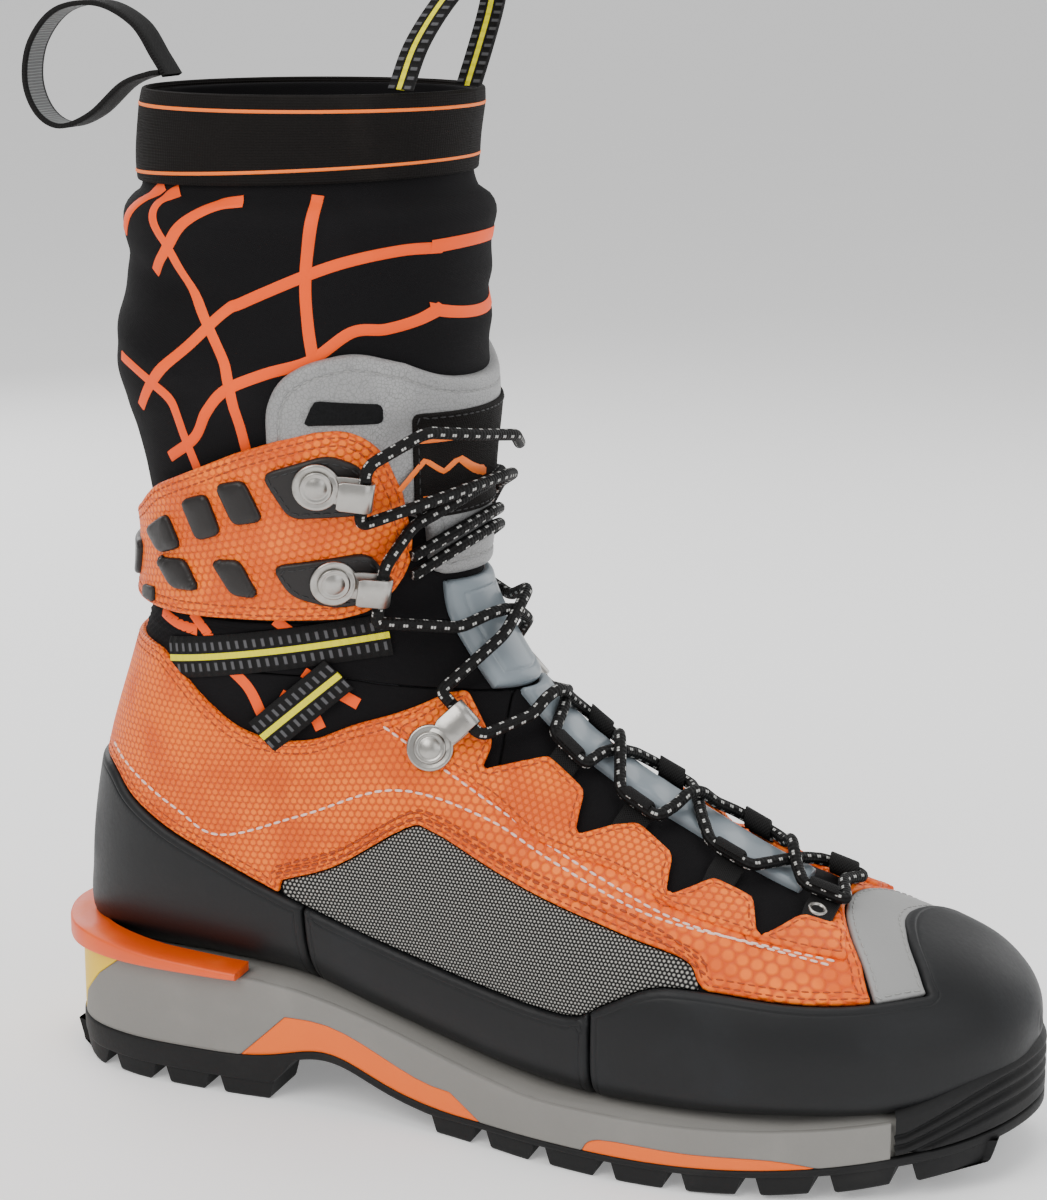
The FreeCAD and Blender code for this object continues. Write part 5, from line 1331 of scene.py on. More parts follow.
class SoleSkin:
    # the side wall of a sole layer, laid out like the last's skin
    def __init__(self, grow, low, high, rows):
        ring, out = soleRing, soleOut
        xy = ring + out * grow
        t = np.linspace(0, 1, rows)[:, None]
        z = low(xy[:, 0])[None] * (1 - t) + high(xy[:, 0])[None] * t
        self.place = np.dstack([np.repeat(xy[None, :, 0], rows, 0), np.repeat(xy[None, :, 1], rows, 0), z])
        self.normal = np.dstack([np.repeat(out[None, :, 0], rows, 0), np.repeat(out[None, :, 1], rows, 0),
                                 z * 0])
        self.x, self.y, self.z = self.place[..., 0], self.place[..., 1], self.place[..., 2]
        self.u = np.repeat(t, xy.shape[0], 1)
        self.angle = np.repeat(soleRun[None], rows, 0)
        self.down = np.gradient(self.place, axis=0)
        self.round = (np.roll(self.place, -1, axis=1) - np.roll(self.place, 1, axis=1)) / 2
        a2, b2, ab = (np.sum(p * q, -1) for p, q in ((self.down, self.down), (self.round, self.round),
                                                     (self.down, self.round)))
        self.metric = a2, b2, ab, np.maximum(a2 * b2 - ab ** 2, 1e-12)

    evenField = Skin.evenField
    polygon = Skin.polygon


def wallPiece(name, wallSkin, field, inside, wall, material, replaces, roundness=0.6, core=None,
              depth=5.0,
              grooves=()):
    panel = Panel(wallSkin, field, panelLevels(roundness, grooves))
    height = edgeProfile(panel.field, wall, roundness) - grooveDepth(panel.field, grooves)
    face = panel.points(inside + height)
    border = panel.borderEdges()
    rim, index = np.unique(border, return_inverse=True)
    index = index.reshape(-1, 2) + len(face)
    low = panel.place[rim] + panel.normal[rim] * (inside - depth)
    faces = [tuple(t) for t in panel.triangles]
    faces += [tuple(q) for q in np.stack([border[:, 1], border[:, 0], index[:, 0], index[:, 1]], 1)]
    parts = [(np.vstack([face, low]), faces)]
    if core:
        parts.append(core)
    piece = makePanelMesh(name, *joined(parts))
    return finishPiece(piece, material, "boot", replaces)


def makeMidsole():
    wallSkin = SoleSkin(-0.4, lambda x: treadTop(x) + gap, lambda x: featherAt(x) - gap, 26)
    archLow = [(x, treadTop(x) - 1.0) for x in (152, 138, 126, 114, 102, 92, 84, 76, 68)]
    archHigh = [(x, max(insertTop(x), treadTop(x) + 1.0)) for x in (84, 88, 92, 98, 104, 110, 116, 122, 128,
                                                                    134, 140)]
    frontHigh = smoothLine(((184.0, treadTop(184.0) - 1.0), (190.0, treadTop(190.0) + 4.2),
                            (216.0, treadTop(216.0) + 4.0), (240.0, treadTop(240.0) + 3.0),
                            (256.0, treadTop(256.0) - 1.0)), 4)
    frontLow = [(x, treadTop(x) - 2.0) for x in (256, 246, 232, 216, 200, 184)]
    z0, z1 = treadTop(0.0), featherAt(0.0)
    heel = [(-8.0, z0 - 2), (6.0, z0 - 2), (9.0, z0 + 8), (17.0, z0 + 17), (29.0, z1 + 1), (-8.0, z1 + 1)]
    fields = {"archInsert": (archLow + archHigh, "orangeFoam", "orange_foam", "arch_insert"),
              "forefootInsert": (frontLow + frontHigh, "orangeFoam", "orange_foam", "forefoot_insert"),
              "heelInsert": (heel, "yellowFoam", "yellow_foam", "heel_shock_insert")}
    rest = 271.8 - wallSkin.x
    for name, (points, material, slot, node) in fields.items():
        field = wallSkin.polygon(points)
        rest = np.minimum(rest, -field)
        wallPiece(name, wallSkin, field, -0.9, 0.8, material, [node], 0.7)
    core = ringStack(((-2.0, lambda x: treadTop(x) + gap), (-2.0, lambda x: featherAt(x) - gap)))
    wallPiece("midsole", wallSkin, rest, -0.8, 0.8, "midsoleFoam", ["midsole"], 0.7, core,
              1.2)
    print("midsole")


def makeHeelWelt():
    chosen = np.argsort(np.where(soleRing[:, 1] > 0, soleRing[:, 0] + 8, -soleRing[:, 0] - 8))
    near = [k for k in chosen if soleRing[k, 0] < 69.6]
    topAt = lambda x: np.interp(x, (-8.0, 14.0, 40.0, 69.0), (45.0, 45.0, 42.5, 41.0))
    rows = ((-7.0, 0, 0.0), (2.9, 0, 0.0), (3.3, 0, 0.25), (3.4, 0, 0.7), (3.4, 1, -0.9), (3.2, 1, -0.35),
            (2.7, 1, -0.05), (-0.6, 1, 0.15), (-7.0, 1, 0.4))
    points = []
    for k in near:
        for grow, top, shift in rows:
            xy = soleRing[k] + soleOut[k] * grow
            points.append((*xy, (topAt(soleRing[k, 0]) if top else 38.6) + shift))
    n = len(rows)
    faces = [(a * n + r, (a + 1) * n + r, (a + 1) * n + r + 1, a * n + r + 1)
             for a in range(len(near) - 1) for r in range(n - 1)]
    faces += [tuple(range(n)), tuple(range((len(near) - 1) * n, len(near) * n))[::-1]]
    piece = makePanelMesh("heelWelt", np.array(points), faces)
    sharpen(piece, 50)
    finishPiece(piece, "weltRubber", "boot", ["heel_welt"])


bumper = {"start": 272.2, "rows": 46, "grooves": (0.30, 0.52, 0.74), "width": 0.055, "depth": 1.3}


def makeBumper():
    low = lambda x: treadTop(x) + gap
    high = lambda x: featherAt(x) + 3.0 + 6.0 * smoothStep((x - 270) / 30)
    keep = soleRing[:, 0] > bumper["start"]
    order = np.flatnonzero(keep)
    order = order[np.argsort(np.arctan2(soleRing[order, 1] - 6, soleRing[order, 0] - bumper["start"]))]
    fine = np.linspace(0, len(order) - 1, len(order) * 2)
    xy = np.stack([np.interp(fine, np.arange(len(order)), soleRing[order, k]) for k in (0, 1)], 1)
    out = np.stack([np.interp(fine, np.arange(len(order)), soleOut[order, k]) for k in (0, 1)], 1)
    points, rows = [], bumper["rows"]
    sweep = (1 - np.clip((xy[:, 0] - 276) / 24, 0, 1)) ** 1.6
    for r in range(rows):
        t = r / (rows - 1)
        z = low(xy[:, 0]) * (1 - t) + high(xy[:, 0]) * t
        drop = np.zeros(len(xy))
        for at in bumper["grooves"]:
            line = at - 0.30 * sweep
            drop = np.maximum(drop, bumper["depth"] * np.clip(1.4 - np.abs(t - line) / bumper["width"], 0,
                                                              1))
        edge = 0.9 * (1 - min(1.0, t / 0.05)) ** 2 + 2.4 * max(0.0, (t - 0.8) / 0.2) ** 2.2
        points.append(np.column_stack([xy - out * (drop + edge)[:, None], z]))
    count = len(xy)
    inward = points[-1].copy()
    inward[:, :2] -= out * 7.0
    points.append(inward)
    under = points[0].copy()
    under[:, :2] -= out * 12.0
    points.insert(0, under)
    faces = [(r * count + k, r * count + k + 1, (r + 1) * count + k + 1, (r + 1) * count + k)
             for r in range(len(points) - 1) for k in range(count - 1)]
    piece = makePanelMesh("toeBumper", np.vstack(points), faces)
    sharpen(piece, 60)
    finishPiece(piece, "soleRubber", "boot", ["toe_bumper"])
    print("sole")


lowerJoin = ((-20.0, 141.5), (170.0, 129.5))
upperJoin = ((-20.0, 152.5), (170.0, 150.5))


def blendPiece(piece):
    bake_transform(piece)
    return piece


gussetLines = (
    ((58, 152), (64, 146), (68, 139), (76, 131), (80, 122)), ((86, 152), (92, 147), (97, 143)),
    ((44, 150), (52, 148), (60, 147)), ((93, 136), (100, 131), (108, 127)), ((108, 151), (113, 147)),
    ((86, 129), (94, 124), (97, 119)),
)


def makeSock():
    # the boot's own knitted sock, seen under the lace
    whole = [*featherPoints(-6.0, 308.0, 0.0), (312.0, 100.0), (170.0, 129.5), lowerJoin[0]]
    field = skin.polygon(whole, 40.0)
    for name, limit, node in (("sockFront", skin.x - 150.0, "sock_front"),
                              ("sockRear", 149.6 - skin.x, "sock_rear")):
        fieldPiece(name, np.minimum(field, limit), -1.2, 1.2, "stretchCloth", "boot", "stretch_fabric",
                   [node],
                   roundness=0.6)
    join = [*moved(lowerJoin, 0, 0.3), *reversed(moved(upperJoin, 0, -0.3))]

    def folds(panel):
        wave = np.sin(panel.z * 1.9 + 1.2 * np.sin(panel.angle * 5)) * 0.35
        return wave * np.clip(panel.field / 2.5, 0, 1) * np.clip(np.abs(panel.angle) - 0.6, 0, 1)
    gusset, _, _ = fieldPiece("ankleGusset", skin.polygon(join, 60.0), -1.2, 1.2, "stretchCloth", None,
                              "stretch_fabric", ["ankle_gusset"], roundness=0.5, shape=folds)
    blendPiece(gusset)
    bits = [ribbonOn(smoothLine(line, 8), side, 3.4) for side in (outer, inner) for line in gussetLines]
    bits = makePanelMesh("gussetLines", *joined(bits))
    blendPiece(finishPiece(bits, "orangePlain", None))
    print("sock")


def webbingStrip(start, end, width, side, base, wall, count=40, across=9):
    # a flat band laid over the boot, with its map along and across
    dx, dz = end[0] - start[0], end[1] - start[1]
    length = math.hypot(dx, dz)
    nx, nz = -dz / length, dx / length
    points = [(start[0] + dx * i / (count - 1) + nx * width * (j / (across - 1) - 0.5),
               start[1] + dz * i / (count - 1) + nz * width * (j / (across - 1) - 0.5))
              for i in range(count) for j in range(across)]
    place, normal = surfaceAt(points, side)
    edge = np.array([0.35 if j in (0, across - 1) else 1.0 for i in range(count) for j in range(across)])
    top = place + normal * (base + wall * edge)[:, None]
    low = place + normal * base
    line = top.reshape(count, across, 3)[:, across // 2]
    run = np.concatenate([[0], np.cumsum(np.linalg.norm(np.diff(line, axis=0), axis=1))])
    uv = np.array([(run[i], width * (j / (across - 1) - 0.5)) for i in range(count) for j in range(across)])
    faces = [(i * across + j, i * across + j + 1, (i + 1) * across + j + 1, (i + 1) * across + j)
             for i in range(count - 1) for j in range(across - 1)]
    return top, low, uv, faces, across, count


def stripMesh(name, parts, material, replaces):
    allPoints, allFaces, allUv, offset = [], [], [], 0
    for top, low, uv, faces, across, count in parts:
        n = len(top)
        allPoints += [top, low]
        allUv += [uv, uv]
        allFaces += [tuple(k + offset for k in f) for f in faces]
        allFaces += [tuple(k + offset + n for k in f[::-1]) for f in faces]
        edge = [i * across for i in range(count)] + [(count - 1) * across + j for j in range(1, across)]
        edge += [i * across + across - 1 for i in range(count - 2, -1, -1)] + list(range(across - 2, 0, -1))
        for a, b in zip(edge, edge[1:] + edge[:1]):
            allFaces.append((offset + b, offset + a, offset + n + a, offset + n + b))
        offset += 2 * n
    piece = makePanelMesh(name, np.vstack(allPoints), allFaces, np.vstack(allUv))
    sharpen(piece, 55)
    return finishPiece(piece, material, None, replaces)


def makeStraps():
    for side, label in ((outer, "Outer"), (inner, "Inner")):
        parts = [webbingStrip((50.0, 137.5), (116.5, 147.5), 12.5, side, 0.15, 1.1),
                 webbingStrip((80.0, 116.0), (103.0, 136.0), 11.5, side, 1.4, 1.1)]
        blendPiece(stripMesh("ankleStraps" + label, parts, "ribbedWebbing",
                             ["ankle_straps_" + label.lower()]))
    print("straps")


sleeveTop, bandTop = 301.5, 303.0
bandLow = ((-20.0, 274.5), (170.0, 281.0))


def doubleShell(name, field, low, high, material, body, replaces, bulge=None):
    panel = Panel(skin, field, (0.3, 0.8), (skinRound, skinDown))
    roll = np.clip(panel.field / 0.8, 0, 1)
    mid, half = (low + high) / 2, (high - low) / 2 * (0.35 + 0.65 * np.sqrt(1 - (1 - roll) ** 2))
    push = bulge(panel) if bulge else 0.0
    top, under = panel.points(mid + half + push), panel.points(mid - half + push)
    n = len(top)
    border = panel.borderEdges()
    faces = [tuple(t) for t in panel.triangles] + [tuple(k + n for k in t[::-1]) for t in panel.triangles]
    faces += [(b, a, a + n, b + n) for a, b in border.tolist()]
    uv = np.vstack([panel.extra[:, :2]] * 2)
    piece = makePanelMesh(name, np.vstack([top, under]), faces, uv)
    return finishPiece(piece, material, body, replaces)


sleeveLines = (
    ((59, 276), (53, 273), (52, 268), (56.5, 260), (60, 254), (70, 239), (75, 230), (77, 222), (81, 202)),
    ((82, 274), (74, 272.5), (65, 267.5), (56.5, 260), (48, 252)),
    ((103, 276), (102, 267), (100.5, 254.5), (100.5, 243), (102, 229)),
    ((132, 260), (124, 260), (112, 257.5), (100.5, 253.5), (81.5, 245.5), (76, 243), (65, 233.5), (50, 221),
     (42, 212)),
    ((132, 243), (127, 240), (120, 238), (112, 237.5), (101, 229.5), (88, 225.5), (76, 220.5), (69, 213.5),
     (63, 205),
     (52, 198)),
    ((35, 226), (42, 224), (50, 220), (57, 215), (59, 206), (63, 196)),
    ((52, 277), (44, 272), (34, 262)),
)
sleeveFolds = (
    # height and turn of the middle, rise per radian, width, reach in radians, depth
    (266, -1.2, 3.0, 4.5, 1.5, 1.3), (250, -2.2, -9.0, 4.5, 1.0, -1.7), (238, -1.0, 7.0, 5.0, 0.9, 1.1),
    (229, -2.3, -12.0, 5.0, 0.8, 1.6), (247, -0.2, -4.0, 4.0, 0.8, -1.2), (256, 1.4, 6.0, 5.0, 1.1, 1.3),
    (240, 2.2, -8.0, 5.0, 0.9, -1.6), (228, 1.1, 9.0, 5.0, 0.8, 1.2), (216, -1.6, 6.0, 4.0, 0.8, 0.9),
    (214, 2.5, -5.0, 4.5, 0.8, 1.2), (236, 0.2, 5.0, 4.5, 0.7, 0.9),
)


def sleeveSwell(place):
    # soft swellings under the band and behind the ankle, and slanting creases
    x, y, z = np.moveaxis(np.asarray(place), -1, 0)
    turn = np.arctan2(y, x - 82.0)
    behind = np.clip(-np.cos(turn), 0, 1)
    swell = 2.6 * np.exp(-((z - 267.5) / 5.5) ** 2) + 3.0 * behind * np.exp(-((z - 222) / 10.0) ** 2)
    swell -= 1.2 * behind * np.exp(-((z - 247) / 7.0) ** 2)
    for height, middle, rise, width, reach, depth in sleeveFolds:
        off = (turn - middle + np.pi) % (2 * np.pi) - np.pi
        swell += depth * np.exp(-((z - height - rise * off) / width) ** 2) * np.exp(-(off / reach) ** 2)
    keep = np.clip((z - 196) / 14, 0, 1) * np.clip((274.5 - z) / 3.0, 0, 1)
    return swell * keep * keep * (3 - 2 * keep)


def makeSleeve():
    outline = [*upperJoin, (170.0, sleeveTop), (-20.0, sleeveTop)]
    sleeve = doubleShell("gaiterSleeve", skin.polygon(outline, 40.0), -1.2, 0.0, "stretchCloth", "cuff",
                        ["gaiter_sleeve"], lambda p: sleeveSwell(p.place))
    stripes = []
    for side in (outer, inner):
        for line in sleeveLines:
            stripes.append(ribbonOn(smoothLine(line, 8), side, 3.3))
    turns = np.linspace(-0.5, 0.5, 40)
    for z, rise in ((260.0, 0.6), (243.0, -3.0)):
        stripes.append(roundStrip(z + rise * (1 - (turns / 0.5) ** 2), turns, 3.3, 0.25))
    lines = makePanelMesh("sleeveLines", *joined(stripes))
    finishPiece(lines, "orangePlain", "cuff")
    print("sleeve")


def ribbonOn(points, side, width):
    p = np.asarray(points)
    ahead = np.gradient(p, axis=0)
    ahead /= np.linalg.norm(ahead, axis=1, keepdims=True)
    flat = np.stack([-ahead[:, 1], ahead[:, 0]], 1)
    rows = []
    for share, lift in ((-0.5, -0.05), (-0.42, 0.16), (-0.14, 0.2), (0.14, 0.2), (0.42, 0.16),
                        (0.5, -0.05)):
        place, normal = surfaceAt(p + flat * width * share, side)
        rows.append(place + normal * (lift + sleeveSwell(place) + 0.1)[:, None])
    n = len(p)
    faces = []
    for r in range(len(rows) - 1):
        for k in range(n - 1):
            face = (r * n + k, r * n + k + 1, (r + 1) * n + k + 1, (r + 1) * n + k)
            faces.append(face if side < 0 else face[::-1])
    return np.vstack(rows), faces


def roundStrip(heights, turns, width, lift):
    # a thin strip round the leg, at a height for each turn
    rows = []
    for share, rise in ((-0.5, -0.1), (-0.35, 0.08), (0.35, 0.08), (0.5, -0.1)):
        u = np.array([stationAt(z) for z in heights + width * share])
        near = 0.02
        place = lastPoint(u, turns)
        ahead = lastPoint(u, turns + near) - lastPoint(u, turns - near)
        rising = lastPoint(u + near, turns) - lastPoint(u - near, turns)
        normal = np.cross(ahead, rising)
        normal /= np.linalg.norm(normal, axis=1, keepdims=True)
        outward = np.sign(np.sum(normal * (place - (82.0, 0.0, 0.0)) * (1, 1, 0), axis=1, keepdims=True))
        normal = normal * outward
        rows.append(place + normal * (lift + rise + sleeveSwell(place))[:, None])
    n = len(turns)
    faces = [(r * n + k, r * n + k + 1, (r + 1) * n + k + 1, (r + 1) * n + k)
             for r in range(len(rows) - 1) for k in range(n - 1)]
    return np.vstack(rows), faces


def makeBand():
    band = [*bandLow, (170.0, bandTop), (-20.0, bandTop)]
    field = skin.polygon(band, 30.0)
    doubleShell("gaiterBand", field, 0.15, 1.55, "elasticCloth", "cuff", ["gaiter_band"],
                lambda p: 0.5 * np.clip(p.field / 4, 0, 1))
    lines = []
    for share in (0.2, 0.82):
        for start, end in ((0.0, math.pi), (-math.pi, 0.0)):
            turn = np.linspace(start, end, 90)
            x = lastPoint(np.full(turn.shape, 29.0), turn)[:, 0]
            low = np.interp(x, (-20, 170), (274.5, 281.0))
            lines.append(roundStrip(low + (bandTop - low) * share, turn, 0.95, 2.1))
    piece = makePanelMesh("bandLines", *joined(lines))
    finishPiece(piece, "orangeThread", "cuff")
    print("band")


cuffEdge = roundCorners(((-10.0, 171.0), (30.0, 176.0), (41.0, 183.0), (49.0, 190.0), (65.0, 197.0),
                         (79.0, 203.0),
                         (91.0, 207.0), (102.0, 210.0), (109.0, 210.5), (114.0, 208.0), (118.0, 203.0),
                         (121.0, 191.0),
                         (122.0, 178.0), (121.5, 170.0), (118.0, 162.0), (112.0, 156.0), (104.0, 154.0),
                         (74.0, 153.5),
                         (56.0, 152.5), (-10.0, 152.0)), 5.0)
cuffLugs = (
    ((45.0, 176.0), (55.0, 183.0), (60.0, 173.0), (51.0, 169.5)),
    ((61.0, 188.0), (70.0, 191.0), (74.0, 179.0), (66.0, 176.0)),
    ((73.0, 194.0), (82.0, 196.0), (87.0, 184.0), (78.0, 182.0)),
    ((49.0, 168.0), (61.0, 170.0), (66.0, 161.0), (56.0, 160.0)),
    ((70.0, 171.0), (79.0, 172.0), (84.0, 161.0), (76.0, 161.0)),
)
hookPlates = (
    ((87.0, 198.0), (105.0, 204.0), (113.0, 200.0), (113.0, 186.0), (94.0, 185.0)),
    ((88.0, 171.0), (112.0, 175.0), (115.5, 168.0), (111.0, 159.0), (103.0, 158.0), (92.0, 162.0)),
)


def makeCuff():
    padEdge = [(-10.0, 154.0), (85.5, 154.5), (85.5, 203.0), (79.0, 200.5), (65.0, 195.0), (49.0, 187.5),
               (41.0, 181.0),
               (30.0, 174.0), (-10.0, 169.0)]
    pad, _, _ = fieldPiece("cuffPadding", skin.polygon(roundCorners(padEdge, 4.0)), gap, layers["pad"],
                           "innerFoam",
                           "cuff", "foam", ["cuff_padding"], roundness=2.5)
    inside = gap + layers["pad"] + gap
    seams = ((1.7, 0.5, 0.22), (4.0, 0.5, 0.22))
    fieldPiece("cuffPanel", skin.polygon(cuffEdge), inside, layers["cuff"], "orangeMicrofibre", "cuff",
               "orange_microfibre", ["cuff_panel"], roundness=1.3, grooves=seams, unwrap=True,
               stitches=((cuffRust, 1.7, {"radius": 0.3}), (cuffRust, 4.0, {"radius": 0.3})))
    start = inside + layers["cuff"] + gap * 0.5
    heel = [(-10.0, 158.0), (38.0, 158.0), (41.0, 170.0), (-10.0, 170.0)]
    fieldPiece("heelLug", skin.polygon(roundCorners(heel, 3.0)), start, layers["lug"], "blackPlastic",
               "cuff",
               "black_plastic", ["heel_lug"], roundness=1.3)
    for side, label in ((outer, "Outer"), (inner, "Inner")):
        field = np.max([skin.polygon(roundCorners(o, 2.6)) for o in cuffLugs], axis=0)
        fieldPiece("cuffLugs" + label, sideOf(side, field), start, layers["lug"], "blackPlastic", "cuff",
                   "black_plastic", ["cuff_lugs_" + label.lower()], roundness=1.4, puff=0.5, puffReach=4.0)
        field = np.max([skin.polygon(roundCorners(o, 3.4)) for o in hookPlates], axis=0)
        fieldPiece("hookPlates" + label, sideOf(side, field), start, layers["lug"], "blackPlastic", "cuff",
                   "black_plastic", ["hook_plates_" + label.lower()], roundness=1.2,
                   stitches=((cuffBlack, 1.6, {"radius": 0.28}),))
    tag = [(41.8, 153.6), (48.0, 153.6), (48.0, 158.5), (41.8, 157.4)]
    fieldPiece("sizeTag", sideOf(outer, skin.polygon(roundCorners(tag, 0.8))), start, 0.8, "blackPlastic",
               "cuff",
               "black_plastic", roundness=0.4)
    print("cuff")


def makeTongue():
    padEdge = roundCorners([(126.5, 164.0), (126.0, 183.0), (87.5, 185.0), (88.0, 216.0), (92.0, 224.0),
                            (100.0, 229.0),
                            (113.0, 232.0), (124.0, 228.0), (133.0, 222.0), (150.0, 219.0), (150.0, 164.0)],
                           5.0)
    pad, _, _ = fieldPiece("tonguePad", skin.polygon(padEdge), gap, layers["pad"], "silverLeather", "cuff",
                           "grey_leather", ["tongue_pad"], roundness=2.6, grooves=((4.2, 0.7, 0.6),),
                           puff=0.8,
                           stitches=((cuffGrey, 4.2, {"radius": 0.32}),))
    lift = gap + layers["pad"] + gap + 0.8
    label = [(124.0, 214.0), (123.0, 183.0), (150.0, 180.0), (150.0, 212.0)]
    fieldPiece("tongueLabel", skin.polygon(roundCorners(label, 2.0)), lift, 0.9, "elasticCloth", "cuff",
               "woven_label",
               ["tongue_label"], roundness=0.6, stitches=((cuffBlack, 1.3, {"radius": 0.25}),))
    patch = [(99.0, 212.0), (102.0, 219.0), (118.0, 217.5), (118.0, 212.0)]
    fieldPiece("tonguePatches", skin.polygon(roundCorners(patch, 1.5)), lift, 0.8, "pileCloth", "cuff",
               "hook_and_loop", ["tongue_patches"], roundness=0.6)
    ridge = [(236.5, 60.0), (236.5, 100.0), (200.0, 130.0), (170.0, 129.2), (135.0, 131.4), (135.0, 118.0),
             (160.0, 98.0), (200.0, 72.0)]
    field = np.minimum(skin.polygon(ridge, 30.0), 9.0 - np.abs(skin.y))

    def ribs(panel):
        wave = np.sin(panel.u * 2 * math.pi * 1.6)
        return 0.35 * wave * np.clip((panel.field - 1.5) / 2, 0, 1)
    fieldPiece("tongueRidge", field, gap, 2.6, "greyPlastic", "boot", "grey_plastic", ["tongue_ridge"],
               roundness=2.4,
               shape=ribs)
    flex = [(120.0, 133.0), (170.0, 130.0), (170.0, 162.0), (120.0, 162.0)]
    field = np.minimum(skin.polygon(flex, 30.0), 15.0 - np.abs(skin.y))
    piece, _, _ = fieldPiece("tongueFlex", field, gap, 2.6, "greyPlastic", None, "grey_plastic",
                             ["tongue_flex"],
                             roundness=2.4, grooves=((4.4, 0.8, 0.4),))
    blendPiece(piece)
    print("tongue")


hookSet = {"wall": 1.0, "width": 8.6, "disc": 6.9, "rivet": 4.7, "rise": 1.3, "neck": 13.4, "tail": 7.2,
           "lace": 3.6,
           "room": 0.5}
cuffStack = gap + layers["pad"] + gap + layers["cuff"] + gap + layers["lug"]
hooks = {"cuffUpper": ((103.5, 194.5), (114.0, 193.0), cuffStack),
         "cuffLower": ((105.5, 165.5), (116.0, 164.0), cuffStack),
         "ankle": ((130.5, 116.0), (137.5, 123.0), gap + layers["panel"] + gap + layers["eyestay"])}


def unit(v):
    return np.asarray(v) / np.linalg.norm(v)


def normalOn(x, z, side, offset, reach=4.0):
    a, b = pointOn(x - reach, z, side, offset), pointOn(x + reach, z, side, offset)
    c, d = pointOn(x, z - reach, side, offset), pointOn(x, z + reach, side, offset)
    n = unit(np.cross(b - a, d - c))
    return n if n[1] * side > 0 else -n


hookFrames = {}


def hookFrame(key, side):
    if (key, side) not in hookFrames:
        at, towards, base = hooks[key]
        base += 0.5
        origin = pointOn(*at, side, base)
        normal = normalOn(*at, side, base)
        forward = pointOn(*towards, side, base) - origin
        forward = unit(forward - normal * forward.dot(normal))
        hookFrames[key, side] = origin, forward, normal
    return hookFrames[key, side]


def lathe(profile, sides=48):
    points = [(r * math.cos(2 * math.pi * k / sides), r * math.sin(2 * math.pi * k / sides), z)
              for r, z in profile for k in range(sides)]
    faces = []
    for r in range(len(profile) - 1):
        for k in range(sides):
            n = (k + 1) % sides
            faces.append((r * sides + k, r * sides + n, (r + 1) * sides + n, (r + 1) * sides + k))
    faces.append(tuple(range((len(profile) - 1) * sides, len(profile) * sides)))
    return np.array(points), faces


def hookShape():
    s = hookSet
    w, r = s["wall"], (s["lace"] + s["room"]) / 2
    disc = lathe(((s["disc"] - 0.4, 0.0), (s["disc"] - 0.1, 0.15), (s["disc"], 0.4),
                  (s["disc"] - 0.1, 0.75),
                  (s["disc"] - 0.45, w), (s["rivet"] + 1.2, w), (s["rivet"] + 0.6, w - 0.2),
                  (1.0, w - 0.2)))
    middle = r + w / 2
    path = [(2.0, w / 2), (s["neck"] * 0.6, w / 2), (s["neck"], w / 2)]
    path += [(s["neck"] + middle * math.sin(a),
              w + r - middle * math.cos(a)) for a in np.linspace(0.2, math.pi, 12)]
    top = 2 * r + w * 1.5
    path += [(s["neck"] - s["tail"] * t, top + 0.25 * t ** 3) for t in (0.3, 0.6, 0.85, 1.0)]
    path = np.array(path)
    ahead = np.gradient(path, axis=0)
    ahead /= np.linalg.norm(ahead, axis=1, keepdims=True)
    normal = np.stack([-ahead[:, 1], ahead[:, 0]], 1)
    half, h, e = s["width"] / 2, w / 2, 0.28
    section = ((-half, -h + e), (-half + e, -h), (half - e, -h), (half, -h + e), (half, h - e),
               (half - e, h),
               (-half + e, h), (-half, h - e))
    points, n = [], len(section)
    for k, (p, m) in enumerate(zip(path, normal)):
        shrink = 0.88 if k in (0, len(path) - 1) else 1.0
        points += [(p[0] + m[0] * b * shrink, a * shrink, p[1] + m[1] * b * shrink) for a, b in section]
    faces = [(k * n + j, (k + 1) * n + j, (k + 1) * n + (j + 1) % n, k * n + (j + 1) % n)
             for k in range(len(path) - 1) for j in range(n)]
    faces += [tuple(range(n)), tuple(range((len(path) - 1) * n, len(path) * n))[::-1]]
    return joined([disc, (np.array(points), faces)])


def rivetShape():
    r, w, rise = hookSet["rivet"], hookSet["wall"], hookSet["rise"]
    profile = [(r, w - 0.1), (r, w + 0.35), (r - 0.15, w + 0.62), (r - 0.6, w + 0.75), (r - 1.1, w + 0.55),
               (r - 1.45, w + 0.42)]
    profile += [(s * (r - 1.5), w + 0.42 + (rise - 0.35) * (1 - s * s)) for s in (0.95, 0.8, 0.6, 0.4, 0.2,
                                                                                  0.05)]
    return lathe(profile)


def setAt(shape, origin, forward, normal):
    across = unit(np.cross(normal, forward))
    forward = np.cross(across, normal)
    points, faces = shape
    return origin + points[:, :1] * forward + points[:, 1:2] * across + points[:, 2:] * normal, faces


def makeHooks():
    nodes = {"cuffUpper": ("cuff_hook_upper_", "cuff"), "cuffLower": ("cuff_hook_lower_", "cuff"),
             "ankle": ("ankle_hook_", "boot")}
    for key, (node, body) in nodes.items():
        for side, label in ((outer, "outer"), (inner, "inner")):
            piece = makePanelMesh(key + "Hook" + label.title(), *setAt(hookShape(), *hookFrame(key, side)))
            sharpen(piece, 50)
            finishPiece(piece, "hookSteel", body, [node + label])
    for name, keys, body, node in (("cuffRivets", ("cuffUpper", "cuffLower"), "cuff", "cuff_hook_rivets"),
                                   ("ankleRivets", ("ankle",), "boot", "ankle_hook_rivets")):
        parts = [setAt(rivetShape(), *hookFrame(key, side)) for key in keys for side in (outer, inner)]
        piece = makePanelMesh(name, *joined(parts))
        sharpen(piece, 60)
        finishPiece(piece, "hookSteel", body, [node])
    print("hooks")


